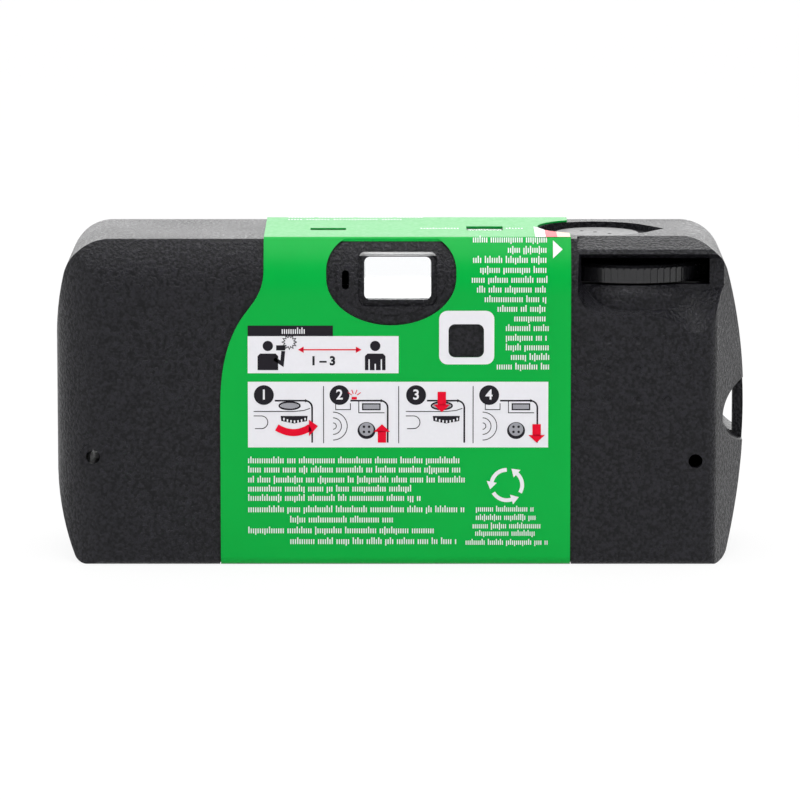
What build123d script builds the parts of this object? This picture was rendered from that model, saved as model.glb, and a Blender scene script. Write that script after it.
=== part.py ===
from build123d import *
from math import asin, acos, cos, sin, pi, degrees, sqrt
import os

# Single-use 35 mm flash camera, standing on a table.
# +X is the photographer's right, +Y the way the lens looks, +Z up.
# The origin is under the middle of the base.

# Overall size
body_width = 108.0
body_height = 51.0
body_depth = 34.0
wall = 1.3
seam_y = -1.0
face_gap = 0.05
fit_gap = 0.15
loose_gap = 0.3
overrun = 5.0
half_width = body_width / 2

# Paper wrap
label_thickness = 0.25
label_build = label_thickness + face_gap
label_left_top_x = -21.4
label_left_low_x = -28.2
label_right_x = 26.3
label_bend_top_z = 46.4
label_bend_low_z = 25.0
label_bend_middle_x = -24.7
label_bend_middle_z = 39.1

# Outline seen from behind
left_straight_low = 16.0
left_straight_high = 34.0
left_top_draw = 3.1
bottom_draw = 3.4
right_bulge_z = 23.0
right_top_draw = 4.8
top_corner_radius = 7.5
bottom_corner_radius = 2.0

# Outline seen from above
back_y = -body_depth / 2 + label_build
bezel_proud = 3.0
front_y = body_depth / 2 - bezel_proud
back_left_radius = 8.5
slant_start_x = 48.6
slant_end_y = -3.0
crease_radius = 2.0
slant_radius = 6.0
front_corner_radius = 5.0

# Outline seen from the end
top_back_y = -14.1
barrel_start_z = 42.5
top_back_radius = 0.4
bottom_back_radius = 1.0
front_top_radius = 3.0
front_bottom_radius = 1.2

# Top plate of the front cover, which reaches back over the mechanism
tab_start_x = 9.0
tab_back_y = -10.6
tab_low_z = 45.5

# Thumbwheel and film cartridge, on one upright axis
wheel_x = 36.2
wheel_y = -1.5
wheel_radius = 12.6
wheel_low_z = 44.0
wheel_thickness = 2.7
wheel_teeth = 72
wheel_tooth_depth = 0.55
wheel_bevel = 1.1
wheel_dish_radius = 8.0
wheel_dish_depth = 1.2
wheel_hub_radius = 4.9
wheel_key_radius = 2.9
wheel_key_length = 4.6
hub_gap = 0.08
can_radius = 12.5
can_low_z = 1.5
can_length = 41.5
can_wall = 0.4
can_cap_hole = 5.7
spool_radius = 5.5
spool_bore = 3.2
spool_bore_depth = 6.0
lip_start_x = 24.5
lip_end_x = 28.5
lip_back_y = -14.7
lip_front_y = -9.5
chamber_gap = 0.4
chamber_wall = 1.0
chamber_radius = can_radius + chamber_gap
pillow_radius = chamber_radius + chamber_wall
wheel_top_z = wheel_low_z + wheel_thickness

# Thumb recess in the back
recess_floor_y = -12.5
recess_top_z = 49.3
recess_floor_top_z = 47.75
recess_end_x = 60.0
recess_left_x = 27.3
recess_span = 23.4
recess_drop = 13.2
rim_shares = [(0, 0.51), (0.07, 0.7), (0.3, 0.79), (0.58, 0.8), (0.69, 0.91), (0.8, 1), (0.92, 0.86),
              (1, 0.6)]
floor_shares = [(0.03, 0.38), (0.1, 0.5), (0.3, 0.58), (0.55, 0.58), (0.66, 0.56), (0.78, 0.53),
                (0.88, 0.48), (1, 0.43)]
slope_back_y = -15.4
slope_corner_radius = 1.3
pillow_dome = 3.0
pillow_low_z = 36.0
pillow_top_z = 44.3
thumb_block_left_x = 26.3
thumb_block_low_z = 34.5
thumb_block_front_y = -11.2
slot_left_x = 28.0
slot_right_x = 48.0
slot_low_z = 43.65
slot_high_z = 47.75

# Grip dimples and latch holes in the back
dimple_radius = 0.75
dimple_depth = 0.3
dimple_first_x = 32.0
dimple_first_z = 26.1
dimple_pitch = 4.7
dimple_rows = 3
latch_hole_radius = 1.1
latch_boss_radius = 2.2
left_hole_x = -48.1
left_hole_z = 17.0
right_hole_x = 45.8
right_hole_z = 16.4

# Strap notch in the right end, bridged by a bar
notch_x = 55.4
notch_z = 22.7
notch_radius = 5.2
notch_wall = 1.1
bar_left_x = 52.4
bar_front_y = 1.6
bar_half_length = 6.2

# Film: gate, strip and supply roll
film_low_z = 4.5
film_height = 35.0
film_top_z = film_low_z + film_height
film_thickness = 0.15
film_y = -13.5
gate_width = 36.0
gate_height = 24.0
gate_frame_y = -13.3
gate_thickness = 1.0
gate_left_x = -22.5
gate_right_x = 23.4
roll_x = -34.5
roll_y = -6.3
roll_radius = 8.3
roll_core_radius = 3.0
roll_core_bore = 1.6
roll_flange = 0.6
supply_gap = 0.5
rail_height = 1.0

# Lens, shutter and tunnel
lens_z = film_low_z + film_height / 2
tunnel_wall = 1.0
tunnel_front_y = 8.0
tunnel_mouth = 8.0
mount_plate_thickness = 1.0
mount_plate_left_x = -13.2
mount_plate_right_x = 27.0
mount_plate_low_z = 12.9
shutter_hole_radius = 3.0
blade_y = 9.2
blade_thickness = 0.3
blade_disc_radius = 3.4
blade_arm_width = 2.6
blade_hub_radius = 1.9
blade_pivot_x = 8.5
blade_pivot_z = 28.5
blade_pivot = (blade_pivot_x, blade_pivot_z)
blade_tail_x = 12.4
blade_tail_z = 32.6
blade_tail = (blade_tail_x, blade_tail_z)
pin_radius = 0.7
pin_gap = 0.08
holder_y = 9.8
holder_thickness = 1.2
holder_half_width = 11.0
holder_low_z = 13.1
holder_high_z = 31.0
holder_seat_radius = 5.4
holder_seat_height = 2.4
aperture_radius = 1.6
lens_radius = 4.2
lens_edge = 1.4
lens_crown = 0.7
lens_seat_gap = 0.1
bezel_radius = 11.0
bezel_hub_radius = 7.3
bezel_cone_low = 3.4
bezel_cone_high = 8.6

# Levers on the shutter plate
kick_pivot_x = 17.0
kick_pivot_z = 33.0
kick_pivot = (kick_pivot_x, kick_pivot_z)
kick_tip_x = 13.9
kick_tip_z = 31.0
kick_tip = (kick_tip_x, kick_tip_z)
kick_tail_x = 18.6
kick_tail_z = 37.6
kick_tail = (kick_tail_x, kick_tail_z)
kick_width = 2.0
kick_y = 10.2
kick_thickness = 0.9
kick_wire = 0.2
kick_turns = 2
release_pivot_x = 21.2
release_pivot_z = 34.6
release_pivot = (release_pivot_x, release_pivot_z)
release_tip_x = 24.8
release_tip_z = 35.2
release_tip = (release_tip_x, release_tip_z)
release_finger_x = 20.6
release_finger_z = 38.2
release_finger = (release_finger_x, release_finger_z)
release_width = 1.8
release_y = 9.3
release_thickness = 0.75
lever_hub_radius = 1.6
blade_spring_radius = 0.7
blade_wire = 0.15
blade_turns = 8
blade_post_z = 39.1
sync_x = -12.8
sync_low_z = 18.0
sync_high_z = 31.0

# Shutter button and its well
button_x = 30.7
button_y = -1.0
button_radius = 6.7
button_top_z = 50.4
button_bottom_z = 48.9
button_flange_radius = 7.4
button_flange_low_z = 47.9
button_travel = 1.0
button_gap = 0.2
button_dot_radius = 0.35
button_dot_depth = 0.25
button_dot_shares = [(-0.34, 0.28), (-0.03, 0.05), (0.3, -0.24)]
well_radius = 9.0
well_floor_z = 50.0
well_plate_low_z = 49.0
well_tip_x = 41.3
stem_x = 24.2
stem_y = 9.6
stem_radius = 1.1
stem_low_z = 36.9
arm_width = 3.0
spring_radius = 1.75
spring_wire = 0.3
spring_turns = 6

# Mechanism deck, sprocket and frame counter
deck_low_z = 40.2
deck_thickness = 1.2
deck_left_x = 6.4
deck_right_x = 26.5
deck_back_y = -12.2
deck_front_y = 12.4
sprocket_x = 16.8
sprocket_y = -7.3
sprocket_radius = 5.2
sprocket_tooth = 0.8
sprocket_teeth = 8
sprocket_low_z = 37.2
sprocket_thickness = 2.2
shaft_radius = 1.2
cam_radius = 1.75
cam_low_z = 42.0
dial_x = 15.2
dial_y = 2.6
dial_radius = 8.1
dial_low_z = 47.3
dial_thickness = 0.8
dial_top_z = dial_low_z + dial_thickness
dial_teeth = 40
dial_tooth_depth = 0.35
post_radius = 1.5
post_pin_radius = 0.9
charge_low_z = 41.6
charge_thickness = 0.8
charge_hub_radius = 2.6
charge_width = 2.2
charge_back_y = -4.2
charge_front_x = 16.2
charge_front_y = 9.6
counter_window_x = 13.05
counter_window_y = -3.2
counter_window_width = 5.4
counter_window_depth = 4.6
pawl_x = 20.5
pawl_y = 8.2
pawl_tip_x = 24.8
pawl_tip_y = 5.0
pawl_low_z = 44.7
pawl_thickness = 1.6
pawl_width = 0.9
pawl_hub_radius = 1.4

# Viewfinder
window_left_x = -5.8
window_right_x = 4.6
window_low_z = 41.7
window_high_z = 48.3
window_radius = 0.9
window_rim = 0.95
window_rim_depth = 0.5
tube_wall = 0.75
tube_back_y = -14.9
tube_front_y = 11.2
finder_lens_thickness = 1.2
front_window_left_x = -6.4
front_window_right_x = 5.5
front_window_low_z = 41.0
front_window_high_z = 48.5
plate_centre_x = -1.6
plate_centre_z = 45.2
plate_half_width = 9.75
plate_half_height = 7.05
plate_corner_radius = 5.0
plate_upper_height = 6.1
plate_bevel = 0.25
cut_out_margin = 0.35
pin_slot_x = -8.7
pin_slot_low_z = 43.4
pin_slot_high_z = 46.4
pin_slot_width = 1.1

# Openings in the wrap
square_hole_left_x = 7.3
square_hole_low_z = 32.8
square_hole_width = 5.5
square_hole_height = 5.2
square_hole_radius = 1.0
lamp_slot_x = -11.5
lamp_slot_y = -4.2
lamp_slot_width = 5.6
lamp_slot_depth = 2.6
bezel_hole_margin = 0.4
front_window_margin = 1.6

# Flash
flash_left_x = -47.6
flash_right_x = -27.4
flash_low_z = 37.4
flash_high_z = 46.4
flash_window_thickness = 1.3
reflector_back_y = 5.2
reflector_wall = 0.4
flash_tube_radius = 1.3
flash_tube_length = 17.6
board_left_x = -44.6
board_right_x = -15.2
board_low_z = 14.6
board_high_z = 36.0
board_y = 4.6
board_thickness = 1.2
capacitor_radius = 3.9
capacitor_left_x = -47.6
capacitor_length = 22.6
capacitor_z = 8.6
lead_radius = 0.35
transformer_size = 6.0
transformer_x = -22.0
transformer_z = 25.0
trigger_x = -32.6
trigger_z = 33.0
resistor_radius = 0.9
resistor_length = 6.0
resistor_x = -31.0
resistor_low_z = 16.6
resistor_pitch = 2.8
resistor_count = 3
filter_x = -42.4
filter_z = 31.0
transistor_x = -16.9
transistor_radius = 1.7
coil_radius = 2.2
coil_length = 7.0
lamp_radius = 1.9
lamp_length = 6.0
lamp_shelf_z = 36.6
switch_x = -36.2
switch_low_z = 20.2
switch_travel = 3.0
switch_pad_radius = 4.8
switch_pad_thickness = 1.6
switch_stem_width = 3.0
switch_stem_height = 4.0
switch_flange_width = 5.0
switch_flange_height = 7.0
switch_flange_thickness = 1.0
switch_dot_radius = 0.6

# Battery and the lids in the floor
battery_radius = 5.25
battery_length = 43.5
cradle_half = 23.4
cradle_back_y = 0.8
battery_nub_radius = 1.9
battery_nub_length = 1.0
battery_y = 7.1
battery_low_z = 1.9
contact_thickness = 0.4
contact_width = 2.4
contact_root_z = 29.0
contact_bend_z = 26.4
lid_thickness = 1.0
battery_lid_half = 20.0
battery_lid_back_y = 1.5
battery_lid_front_y = 12.0
door_left_x = 28.0
door_right_x = 46.8
door_back_y = -12.0
door_front_y = 10.0
door_low_z = 0.05
door_gap = 0.25


def block(x0, x1, y0, y1, z0, z1):
    return Pos((x0 + x1) / 2, (y0 + y1) / 2, (z0 + z1) / 2) * Box(x1 - x0, y1 - y0, z1 - z0)


def rod_z(x, y, z0, z1, radius):
    return Pos(x, y, (z0 + z1) / 2) * Cylinder(radius, z1 - z0)


def rod_y(x, z, y0, y1, radius):
    return Pos(x, (y0 + y1) / 2, z) * Rot(90, 0, 0) * Cylinder(radius, y1 - y0)


def rod_x(y, z, x0, x1, radius):
    return Pos((x0 + x1) / 2, y, z) * Rot(0, 90, 0) * Cylinder(radius, x1 - x0)


def along_y(face, y0, y1):
    """Extrude a face drawn in X and Z from y0 to y1."""
    return Plane.XZ * Pos(0, 0, -y1) * extrude(face, amount=y1 - y0)


def along_x(face, x0, x1):
    """Extrude a face drawn in Y and Z from x0 to x1."""
    return Plane.YZ * Pos(0, 0, x0) * extrude(face, amount=x1 - x0)


def along_z(face, z0, z1):
    return Pos(0, 0, z0) * extrude(face, amount=z1 - z0)


def bar_xz(start, end, width, y0, y1):
    """Flat lever with round ends, between two points in X and Z."""
    run = (Vector(*end) - Vector(*start))
    middle = (Vector(*end) + Vector(*start)) * 0.5
    face = Pos(middle.X, middle.Y) * Rot(0, 0, degrees(atan_of(run))) * SlotCenterToCenter(run.length, width)
    return along_y(face, y0, y1)


def bar_xy(start, end, width, z0, z1):
    run = (Vector(*end) - Vector(*start))
    middle = (Vector(*end) + Vector(*start)) * 0.5
    face = Pos(middle.X, middle.Y) * Rot(0, 0, degrees(atan_of(run))) * SlotCenterToCenter(run.length, width)
    return along_z(face, z0, z1)


def atan_of(run):
    return pi / 2 if run.X == 0 else asin(run.Y / run.length) if run.X > 0 else pi - asin(run.Y / run.length)


def side_arc(side_x, start_z, end_z, draw, side):
    """Arc that leaves the widest point upright and draws in by the stated amount."""
    height = abs(end_z - start_z)
    radius = (height ** 2 + draw ** 2) / (2 * draw)
    half_angle = asin(height / radius) / 2
    up = 1 if end_z > start_z else -1
    middle_x = side_x - side * radius * (1 - cos(half_angle))
    middle = (middle_x, start_z + up * radius * sin(half_angle))
    return ThreePointArc((side_x, start_z), middle, (side_x - side * draw, end_z))


def corner_points(face, test):
    return [v for v in face.vertices() if test(v.X, v.Y)]


def outline_from_behind():
    left_up = side_arc(-half_width, left_straight_high, body_height, left_top_draw, -1)
    left_down = side_arc(-half_width, left_straight_low, 0, bottom_draw, -1)
    right_up = side_arc(half_width, right_bulge_z, body_height, right_top_draw, 1)
    right_down = side_arc(half_width, right_bulge_z, 0, bottom_draw, 1)
    base = Line(left_down @ 1, right_down @ 1)
    top = Line(left_up @ 1, right_up @ 1)
    left = Line(left_down @ 0, left_up @ 0)
    face = make_face([base, right_down, right_up, top, left_up, left, left_down])
    face = fillet(corner_points(face, lambda x, z: z > body_height - wall), top_corner_radius)
    return fillet(corner_points(face, lambda x, z: z < wall and abs(x) > half_width - 2 * bottom_draw),
                  bottom_corner_radius)


def outline_from_above():
    face = make_face(Polyline((-half_width, back_y), (slant_start_x, back_y), (half_width, slant_end_y),
                              (half_width, front_y), (-half_width, front_y), close=True))
    face = fillet(corner_points(face, lambda x, y: y > 0), front_corner_radius)
    face = fillet(corner_points(face, lambda x, y: x < 0 and y < 0), back_left_radius)
    face = fillet(corner_points(face, lambda x, y: x > 0 and y < back_y + wall), crease_radius)
    return fillet(corner_points(face, lambda x, y: x > half_width - wall and abs(y - slant_end_y) < wall),
                  slant_radius)


def outline_from_end(low_z):
    draw = top_back_y - back_y
    height = body_height - barrel_start_z
    radius = (height ** 2 + draw ** 2) / (2 * draw)
    half_angle = asin(height / radius) / 2
    middle = (back_y + radius * (1 - cos(half_angle)), barrel_start_z + radius * sin(half_angle))
    barrel = ThreePointArc((back_y, barrel_start_z), middle, (top_back_y, body_height))
    rest = Polyline((top_back_y, body_height), (front_y, body_height), (front_y, low_z), (back_y, low_z),
                    (back_y, barrel_start_z))
    face = make_face([barrel] + list(rest.edges()))
    face = fillet(corner_points(face, lambda y, z: y > 0 and z > body_height / 2), front_top_radius)
    face = fillet(corner_points(face, lambda y, z: y > 0 and z < body_height / 2), front_bottom_radius)
    face = fillet(corner_points(face, lambda y, z: y < 0 and z > body_height - wall), top_back_radius)
    return fillet(corner_points(face, lambda y, z: y < 0 and z < low_z + wall), bottom_back_radius)


def body_solid(inset):
    """The whole camera body, drawn in by a wall from every side."""
    behind = outline_from_behind()
    above = outline_from_above()
    end = outline_from_end(0)
    if inset > 0:
        behind = offset(behind, -inset, kind=Kind.INTERSECTION)
        above = offset(above, -inset, kind=Kind.INTERSECTION)
        end = offset(end, -inset, kind=Kind.INTERSECTION)
    solid = along_y(behind, back_y - overrun, front_y + overrun)
    solid = solid & along_z(above, -overrun, body_height + overrun)
    return solid & along_x(end, -half_width - overrun, half_width + overrun)


def recess_cutter():
    """Thumb recess: a mouth on the back face that narrows to a floor in front of the wheel."""
    mouth_y = -body_depth / 2
    mouth = along_recess(rim_shares, recess_top_z)
    floor = along_recess(floor_shares, recess_floor_top_z)
    mouth_face = Plane.XZ * Pos(0, 0, -mouth_y) * mouth
    floor_face = Plane.XZ * Pos(0, 0, -recess_floor_y) * floor
    return loft([mouth_face, floor_face], ruled=True)


def upper_slope():
    """Slope from the seam on top down to the recess, with a round corner at its left end."""
    far_y = back_y - overrun
    fall = (body_height - recess_top_z) / (tab_back_y - slope_back_y)
    far_z = body_height - (tab_back_y - far_y) * fall
    profile = make_face(Polyline((tab_back_y, body_height), (far_y, far_z), (far_y, body_height + overrun),
                                 (tab_back_y, body_height + overrun), (tab_back_y, body_height)))
    plan = RectangleRounded(recess_end_x - recess_left_x, tab_back_y - far_y, slope_corner_radius)
    plan = Pos((recess_left_x + recess_end_x) / 2, (tab_back_y + far_y) / 2) * plan
    return along_x(profile, recess_left_x, recess_end_x) & along_z(plan, 0, body_height + overrun)


def along_recess(shares, top_z):
    """Outline of the recess at one depth, with its curved lower edge."""
    points = [(recess_left_x + x * recess_span, recess_top_z - z * recess_drop) for x, z in shares]
    start, end = points[0], points[-1]
    rest = Polyline(end, (recess_end_x, end[1]), (recess_end_x, top_z), (start[0], top_z), start)
    return make_face([Spline(*points)] + list(rest.edges()))


def strap_notch(radius):
    return rod_y(notch_x, notch_z, back_y - overrun, front_y + overrun, radius)


def shell_with_inner_walls():
    """Both covers in one piece: the shell with the walls round the strap notch and behind the recess."""
    outer = body_solid(0)
    shell = outer - body_solid(wall)
    shell += strap_notch(notch_radius + notch_wall) & outer
    shell += rod_y(left_hole_x, left_hole_z, back_y + wall / 2, front_y - wall / 2, latch_boss_radius)
    shell -= rod_y(left_hole_x, left_hole_z, back_y - overrun, front_y + overrun, latch_hole_radius)
    thumb = block(thumb_block_left_x, recess_end_x, back_y - overrun, thumb_block_front_y, thumb_block_low_z,
                  body_height - wall)
    shell += thumb & outer
    shell -= strap_notch(notch_radius)
    label_seat = block(label_left_low_x - fit_gap, label_right_x + fit_gap, back_y - overrun,
                       front_y + overrun,
                       -overrun, top_corner_radius)
    core = along_x(outline_from_end(label_build), label_left_low_x - overrun, label_right_x + overrun)
    return shell - (label_seat - core)


def rear_region(gap):
    """The space behind the seam, but for the wall of the front cover's top plate."""
    region = block(-half_width - overrun, half_width + overrun, back_y - overrun, seam_y - gap, -overrun,
                   body_height + overrun)
    tab = block(tab_start_x - gap, half_width + overrun, tab_back_y - gap, seam_y + overrun,
                tab_low_z - gap, body_height + overrun)
    return region - (tab - body_solid(wall + gap))


def make_rear_cover(shell):
    cover = shell & rear_region(face_gap)
    cover -= recess_cutter()
    cover -= upper_slope()
    pillow = rod_z(wheel_x, wheel_y, pillow_low_z, pillow_top_z, pillow_radius)
    top_edge = pillow.edges().sort_by(Axis.Z)[-1]
    pillow = fillet(top_edge, pillow_dome)
    front_of_pillow = block(wheel_x - pillow_radius, wheel_x + pillow_radius, recess_floor_y,
                            wheel_y + pillow_radius,
                            0, body_height)
    cover += (pillow - front_of_pillow)
    cover -= rod_z(wheel_x, wheel_y, wall, can_low_z + can_length + face_gap * 2, chamber_radius)
    cover -= rod_z(wheel_x, wheel_y, slot_low_z, wheel_top_z + fit_gap * 2, wheel_radius + loose_gap)
    cover -= block(slot_left_x, slot_right_x, recess_floor_y - wall, thumb_block_front_y + overrun,
                   slot_low_z,
                   slot_high_z)
    cover -= block(lip_start_x - overrun, lip_end_x + loose_gap, lip_back_y - loose_gap,
                   lip_front_y + overrun,
                   film_low_z - wall, film_top_z + loose_gap)
    for column in range(dimple_rows):
        for row in range(dimple_rows):
            cover -= dimple(dimple_first_x + column * dimple_pitch, dimple_first_z + row * dimple_pitch)
    cover -= rod_y(right_hole_x, right_hole_z, back_y - overrun, back_y + wall + overrun, latch_hole_radius)
    cover += finder_plate()
    cover -= finder_window()
    cover -= door_opening()
    cover -= lamp_opening()
    for rail_z in (film_low_z + rail_height, film_top_z - rail_height):
        cover += block(gate_left_x + wall * 2, gate_right_x - rail_height, back_y + wall - face_gap,
                       film_y - film_thickness - face_gap, rail_z - rail_height / 2, rail_z + rail_height / 2)
    return cover


def dimple(x, z):
    """Shallow round dent from a ball a little under the surface."""
    ball = (dimple_radius ** 2 + dimple_depth ** 2) / (2 * dimple_depth)
    return Pos(x, back_y - ball + dimple_depth, z) * Sphere(ball)


def plate_outline(grow):
    """Oval below its middle, and a rectangle with round corners above, which reaches the top edge."""
    oval = Ellipse(plate_half_width + grow, plate_half_height + grow)
    upper_height = plate_upper_height + grow
    upper = RectangleRounded((plate_half_width + grow) * 2, upper_height * 2, plate_corner_radius + grow)
    upper &= Pos(0, upper_height) * Rectangle((plate_half_width + grow) * 2, upper_height * 2)
    return Pos(plate_centre_x, plate_centre_z) * (oval + upper)


def finder_plate():
    """Raised oval round the viewfinder, flush with the wrap, with a bevelled edge."""
    outer = along_y(plate_outline(0), back_y - plate_bevel, back_y
                    + wall) & body_solid_grown(label_build - plate_bevel)
    inner = along_y(plate_outline(-wall), back_y - label_build, back_y + wall) & body_solid_grown(label_build)
    return outer + inner


def body_solid_grown(grow):
    end = offset(outline_from_end(0), grow, kind=Kind.INTERSECTION)
    return along_x(end, label_left_low_x, label_right_x)


def finder_window():
    middle_x = (window_left_x + window_right_x) / 2
    middle_z = (window_low_z + window_high_z) / 2
    width = window_right_x - window_left_x
    height = window_high_z - window_low_z
    opening = Pos(middle_x, middle_z) * RectangleRounded(width, height, window_radius)
    rim = Pos(middle_x, middle_z) * RectangleRounded(width + 2 * window_rim, height + 2 * window_rim,
                                                     window_radius + window_rim / 2)
    cut = along_y(opening, back_y - overrun, back_y + overrun)
    end = offset(outline_from_end(0), -window_rim_depth, kind=Kind.INTERSECTION)
    cut += along_y(rim, back_y - overrun, top_back_y + wall) - along_x(end, label_left_low_x, label_right_x)
    cut += block(window_left_x - tube_wall - fit_gap, window_right_x + tube_wall + fit_gap,
                 tube_back_y - face_gap,
                 top_back_y + overrun, window_low_z - tube_wall - fit_gap, window_high_z + tube_wall + fit_gap)
    pin_slot = Pos(pin_slot_x, (pin_slot_low_z + pin_slot_high_z) / 2) * Rot(0, 0, 90) * SlotOverall(
        pin_slot_high_z - pin_slot_low_z, pin_slot_width)
    return cut + along_y(pin_slot, back_y - overrun, back_y + wall * 2)


def door_opening():
    return block(door_left_x - door_gap, door_right_x + door_gap, door_back_y - lid_thickness / 2 - door_gap,
                 door_front_y + door_gap, -overrun, wall + fit_gap)


def lamp_opening():
    return block(lamp_slot_x - lamp_slot_width / 2 + loose_gap, lamp_slot_x + lamp_slot_width / 2 - loose_gap,
                 lamp_slot_y - lamp_slot_depth / 2 + loose_gap, lamp_slot_y + lamp_slot_depth / 2 - loose_gap,
                 body_height - wall * 2, body_height + overrun)


def counter_opening(margin):
    half_x = counter_window_width / 2 + margin
    half_y = counter_window_depth / 2 + margin
    return block(counter_window_x - half_x, counter_window_x + half_x, counter_window_y - half_y,
                 counter_window_y + half_y, body_height - wall * 2, body_height + wall)


def button_well():
    """Round dish that tapers to a point on the right."""
    reach = well_tip_x - button_x
    angle = acos(well_radius / reach)
    upper = (button_x + well_radius * cos(angle), button_y + well_radius * sin(angle))
    lower = (button_x + well_radius * cos(angle), button_y - well_radius * sin(angle))
    face = Pos(button_x, button_y) * Circle(well_radius)
    face += make_face(Polyline(upper, (well_tip_x, button_y), lower, (button_x, button_y), close=True))
    return along_z(face, well_floor_z, body_height + overrun)


def make_front_cover(shell):
    cover = shell - rear_region(0) - recess_cutter()
    under_well = rod_z(button_x, button_y, well_plate_low_z, body_height - wall / 2, well_radius + wall)
    under_well += block(button_x, well_tip_x + wall, button_y - wall * 2, button_y + wall * 2,
                        well_plate_low_z,
                        body_height - wall / 2)
    under_well &= block(0, half_width, tab_back_y, front_y, 0, body_height)
    cover += under_well & body_solid(wall / 2)
    cover -= button_well()
    cover -= rod_z(button_x, button_y, well_plate_low_z - wall, body_height, button_radius + button_gap)
    boss_reach = wheel_dish_radius + pin_radius * 2
    for x, y in ((wheel_x + boss_reach, wheel_y), (wheel_x, wheel_y + boss_reach)):
        cover += rod_z(x, y, wheel_top_z + fit_gap, body_height - wall / 2, pin_radius * 2)
    bar = block(bar_left_x, recess_end_x, seam_y + face_gap / 2, bar_front_y, notch_z - bar_half_length,
                notch_z + bar_half_length)
    cover += bar & body_solid(0)
    cover -= rod_y(0, lens_z, front_y - wall * 2, front_y + overrun, bezel_hub_radius + fit_gap)
    cover -= block(front_window_left_x - fit_gap, front_window_right_x + fit_gap, front_y - wall * 2,
                   front_y + overrun,
                   front_window_low_z - fit_gap, front_window_high_z + fit_gap)
    cover -= block(flash_left_x - fit_gap, flash_right_x + fit_gap, front_y - wall * 2, front_y + overrun,
                   flash_low_z - fit_gap, flash_high_z + fit_gap)
    slot_low = switch_low_z - switch_stem_height / 2 - fit_gap
    slot_high = switch_low_z + switch_travel + switch_stem_height / 2 + fit_gap
    cover -= block(switch_x - switch_stem_width / 2 - fit_gap, switch_x + switch_stem_width / 2 + fit_gap,
                   front_y - wall * 2, front_y + overrun, slot_low, slot_high)
    cover -= block(-battery_lid_half - fit_gap, battery_lid_half + fit_gap, battery_lid_back_y - fit_gap,
                   battery_lid_front_y + fit_gap, -overrun, wall * 2)
    cover -= door_opening()
    cover -= counter_opening(0)
    grip_x = tab_start_x + label_right_x
    for step in (0, 1, 2):
        rib_x = grip_x + step * well_radius / 2
        cover += block(rib_x, rib_x + wall, front_y - wall / 2, front_y + wall / 2, notch_z / 2,
                       notch_z * 3 / 2)
    return cover


def make_wrap_label():
    """One band of paper round the body, cut to its outline and openings."""
    core = outline_from_end(label_build)
    band = along_x(offset(core, label_build, kind=Kind.INTERSECTION), label_left_low_x, label_right_x)
    band -= along_x(offset(core, face_gap, kind=Kind.INTERSECTION), label_left_low_x - overrun,
                    label_right_x + overrun)
    band -= label_left_waste()
    band -= along_y(plate_outline(cut_out_margin), back_y - overrun, top_back_y - label_build)
    square = Pos(square_hole_left_x + square_hole_width / 2, square_hole_low_z + square_hole_height / 2)
    square *= RectangleRounded(square_hole_width, square_hole_height, square_hole_radius)
    band -= along_y(square, back_y - overrun, top_back_y)
    lamp = block(lamp_slot_x - lamp_slot_width / 2, lamp_slot_x + lamp_slot_width / 2,
                 lamp_slot_y - lamp_slot_depth / 2, lamp_slot_y + lamp_slot_depth / 2, body_height - wall,
                 body_height + overrun)
    counter = counter_opening(fit_gap)
    well = rod_z(button_x, button_y, body_height - wall, body_height + overrun, well_radius + loose_gap)
    bezel = rod_y(0, lens_z, top_back_y + wall * 2, front_y + overrun, bezel_radius + bezel_hole_margin)
    window = Pos((front_window_left_x + front_window_right_x) / 2,
                 (front_window_low_z + front_window_high_z) / 2)
    window *= RectangleRounded(front_window_right_x - front_window_left_x + 2 * front_window_margin,
                               front_window_high_z - front_window_low_z + front_window_margin, front_window_margin)
    return band - lamp - counter - well - bezel - along_y(window, 0, front_y + overrun)


def label_left_waste():
    """What is trimmed off the left edge, which runs in from the full width to the narrower top."""
    curve = Spline((label_left_top_x, label_bend_top_z), (label_bend_middle_x, label_bend_middle_z),
                   (label_left_low_x, label_bend_low_z), tangents=[(0, -1), (0, -1)])
    rest = Polyline((label_left_low_x, label_bend_low_z), (label_left_low_x - overrun, label_bend_low_z),
                    (label_left_low_x - overrun, body_height + overrun), (label_left_top_x,
                                                                          body_height + overrun),
                    (label_left_top_x, label_bend_top_z))
    return along_y(make_face([curve] + list(rest.edges())), back_y - overrun, front_y + overrun)


def tunnel_solid(grow):
    """Light tunnel, from the film gate to the lens."""
    back = Rectangle(gate_width + 2 * grow, gate_height + 2 * grow)
    front = Rectangle(tunnel_mouth + 2 * grow, tunnel_mouth + 2 * grow)
    return loft([Plane.XZ * Pos(0, lens_z, -gate_frame_y) * back,
                 Plane.XZ * Pos(0, lens_z, -tunnel_front_y) * front],
                ruled=True)


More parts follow.
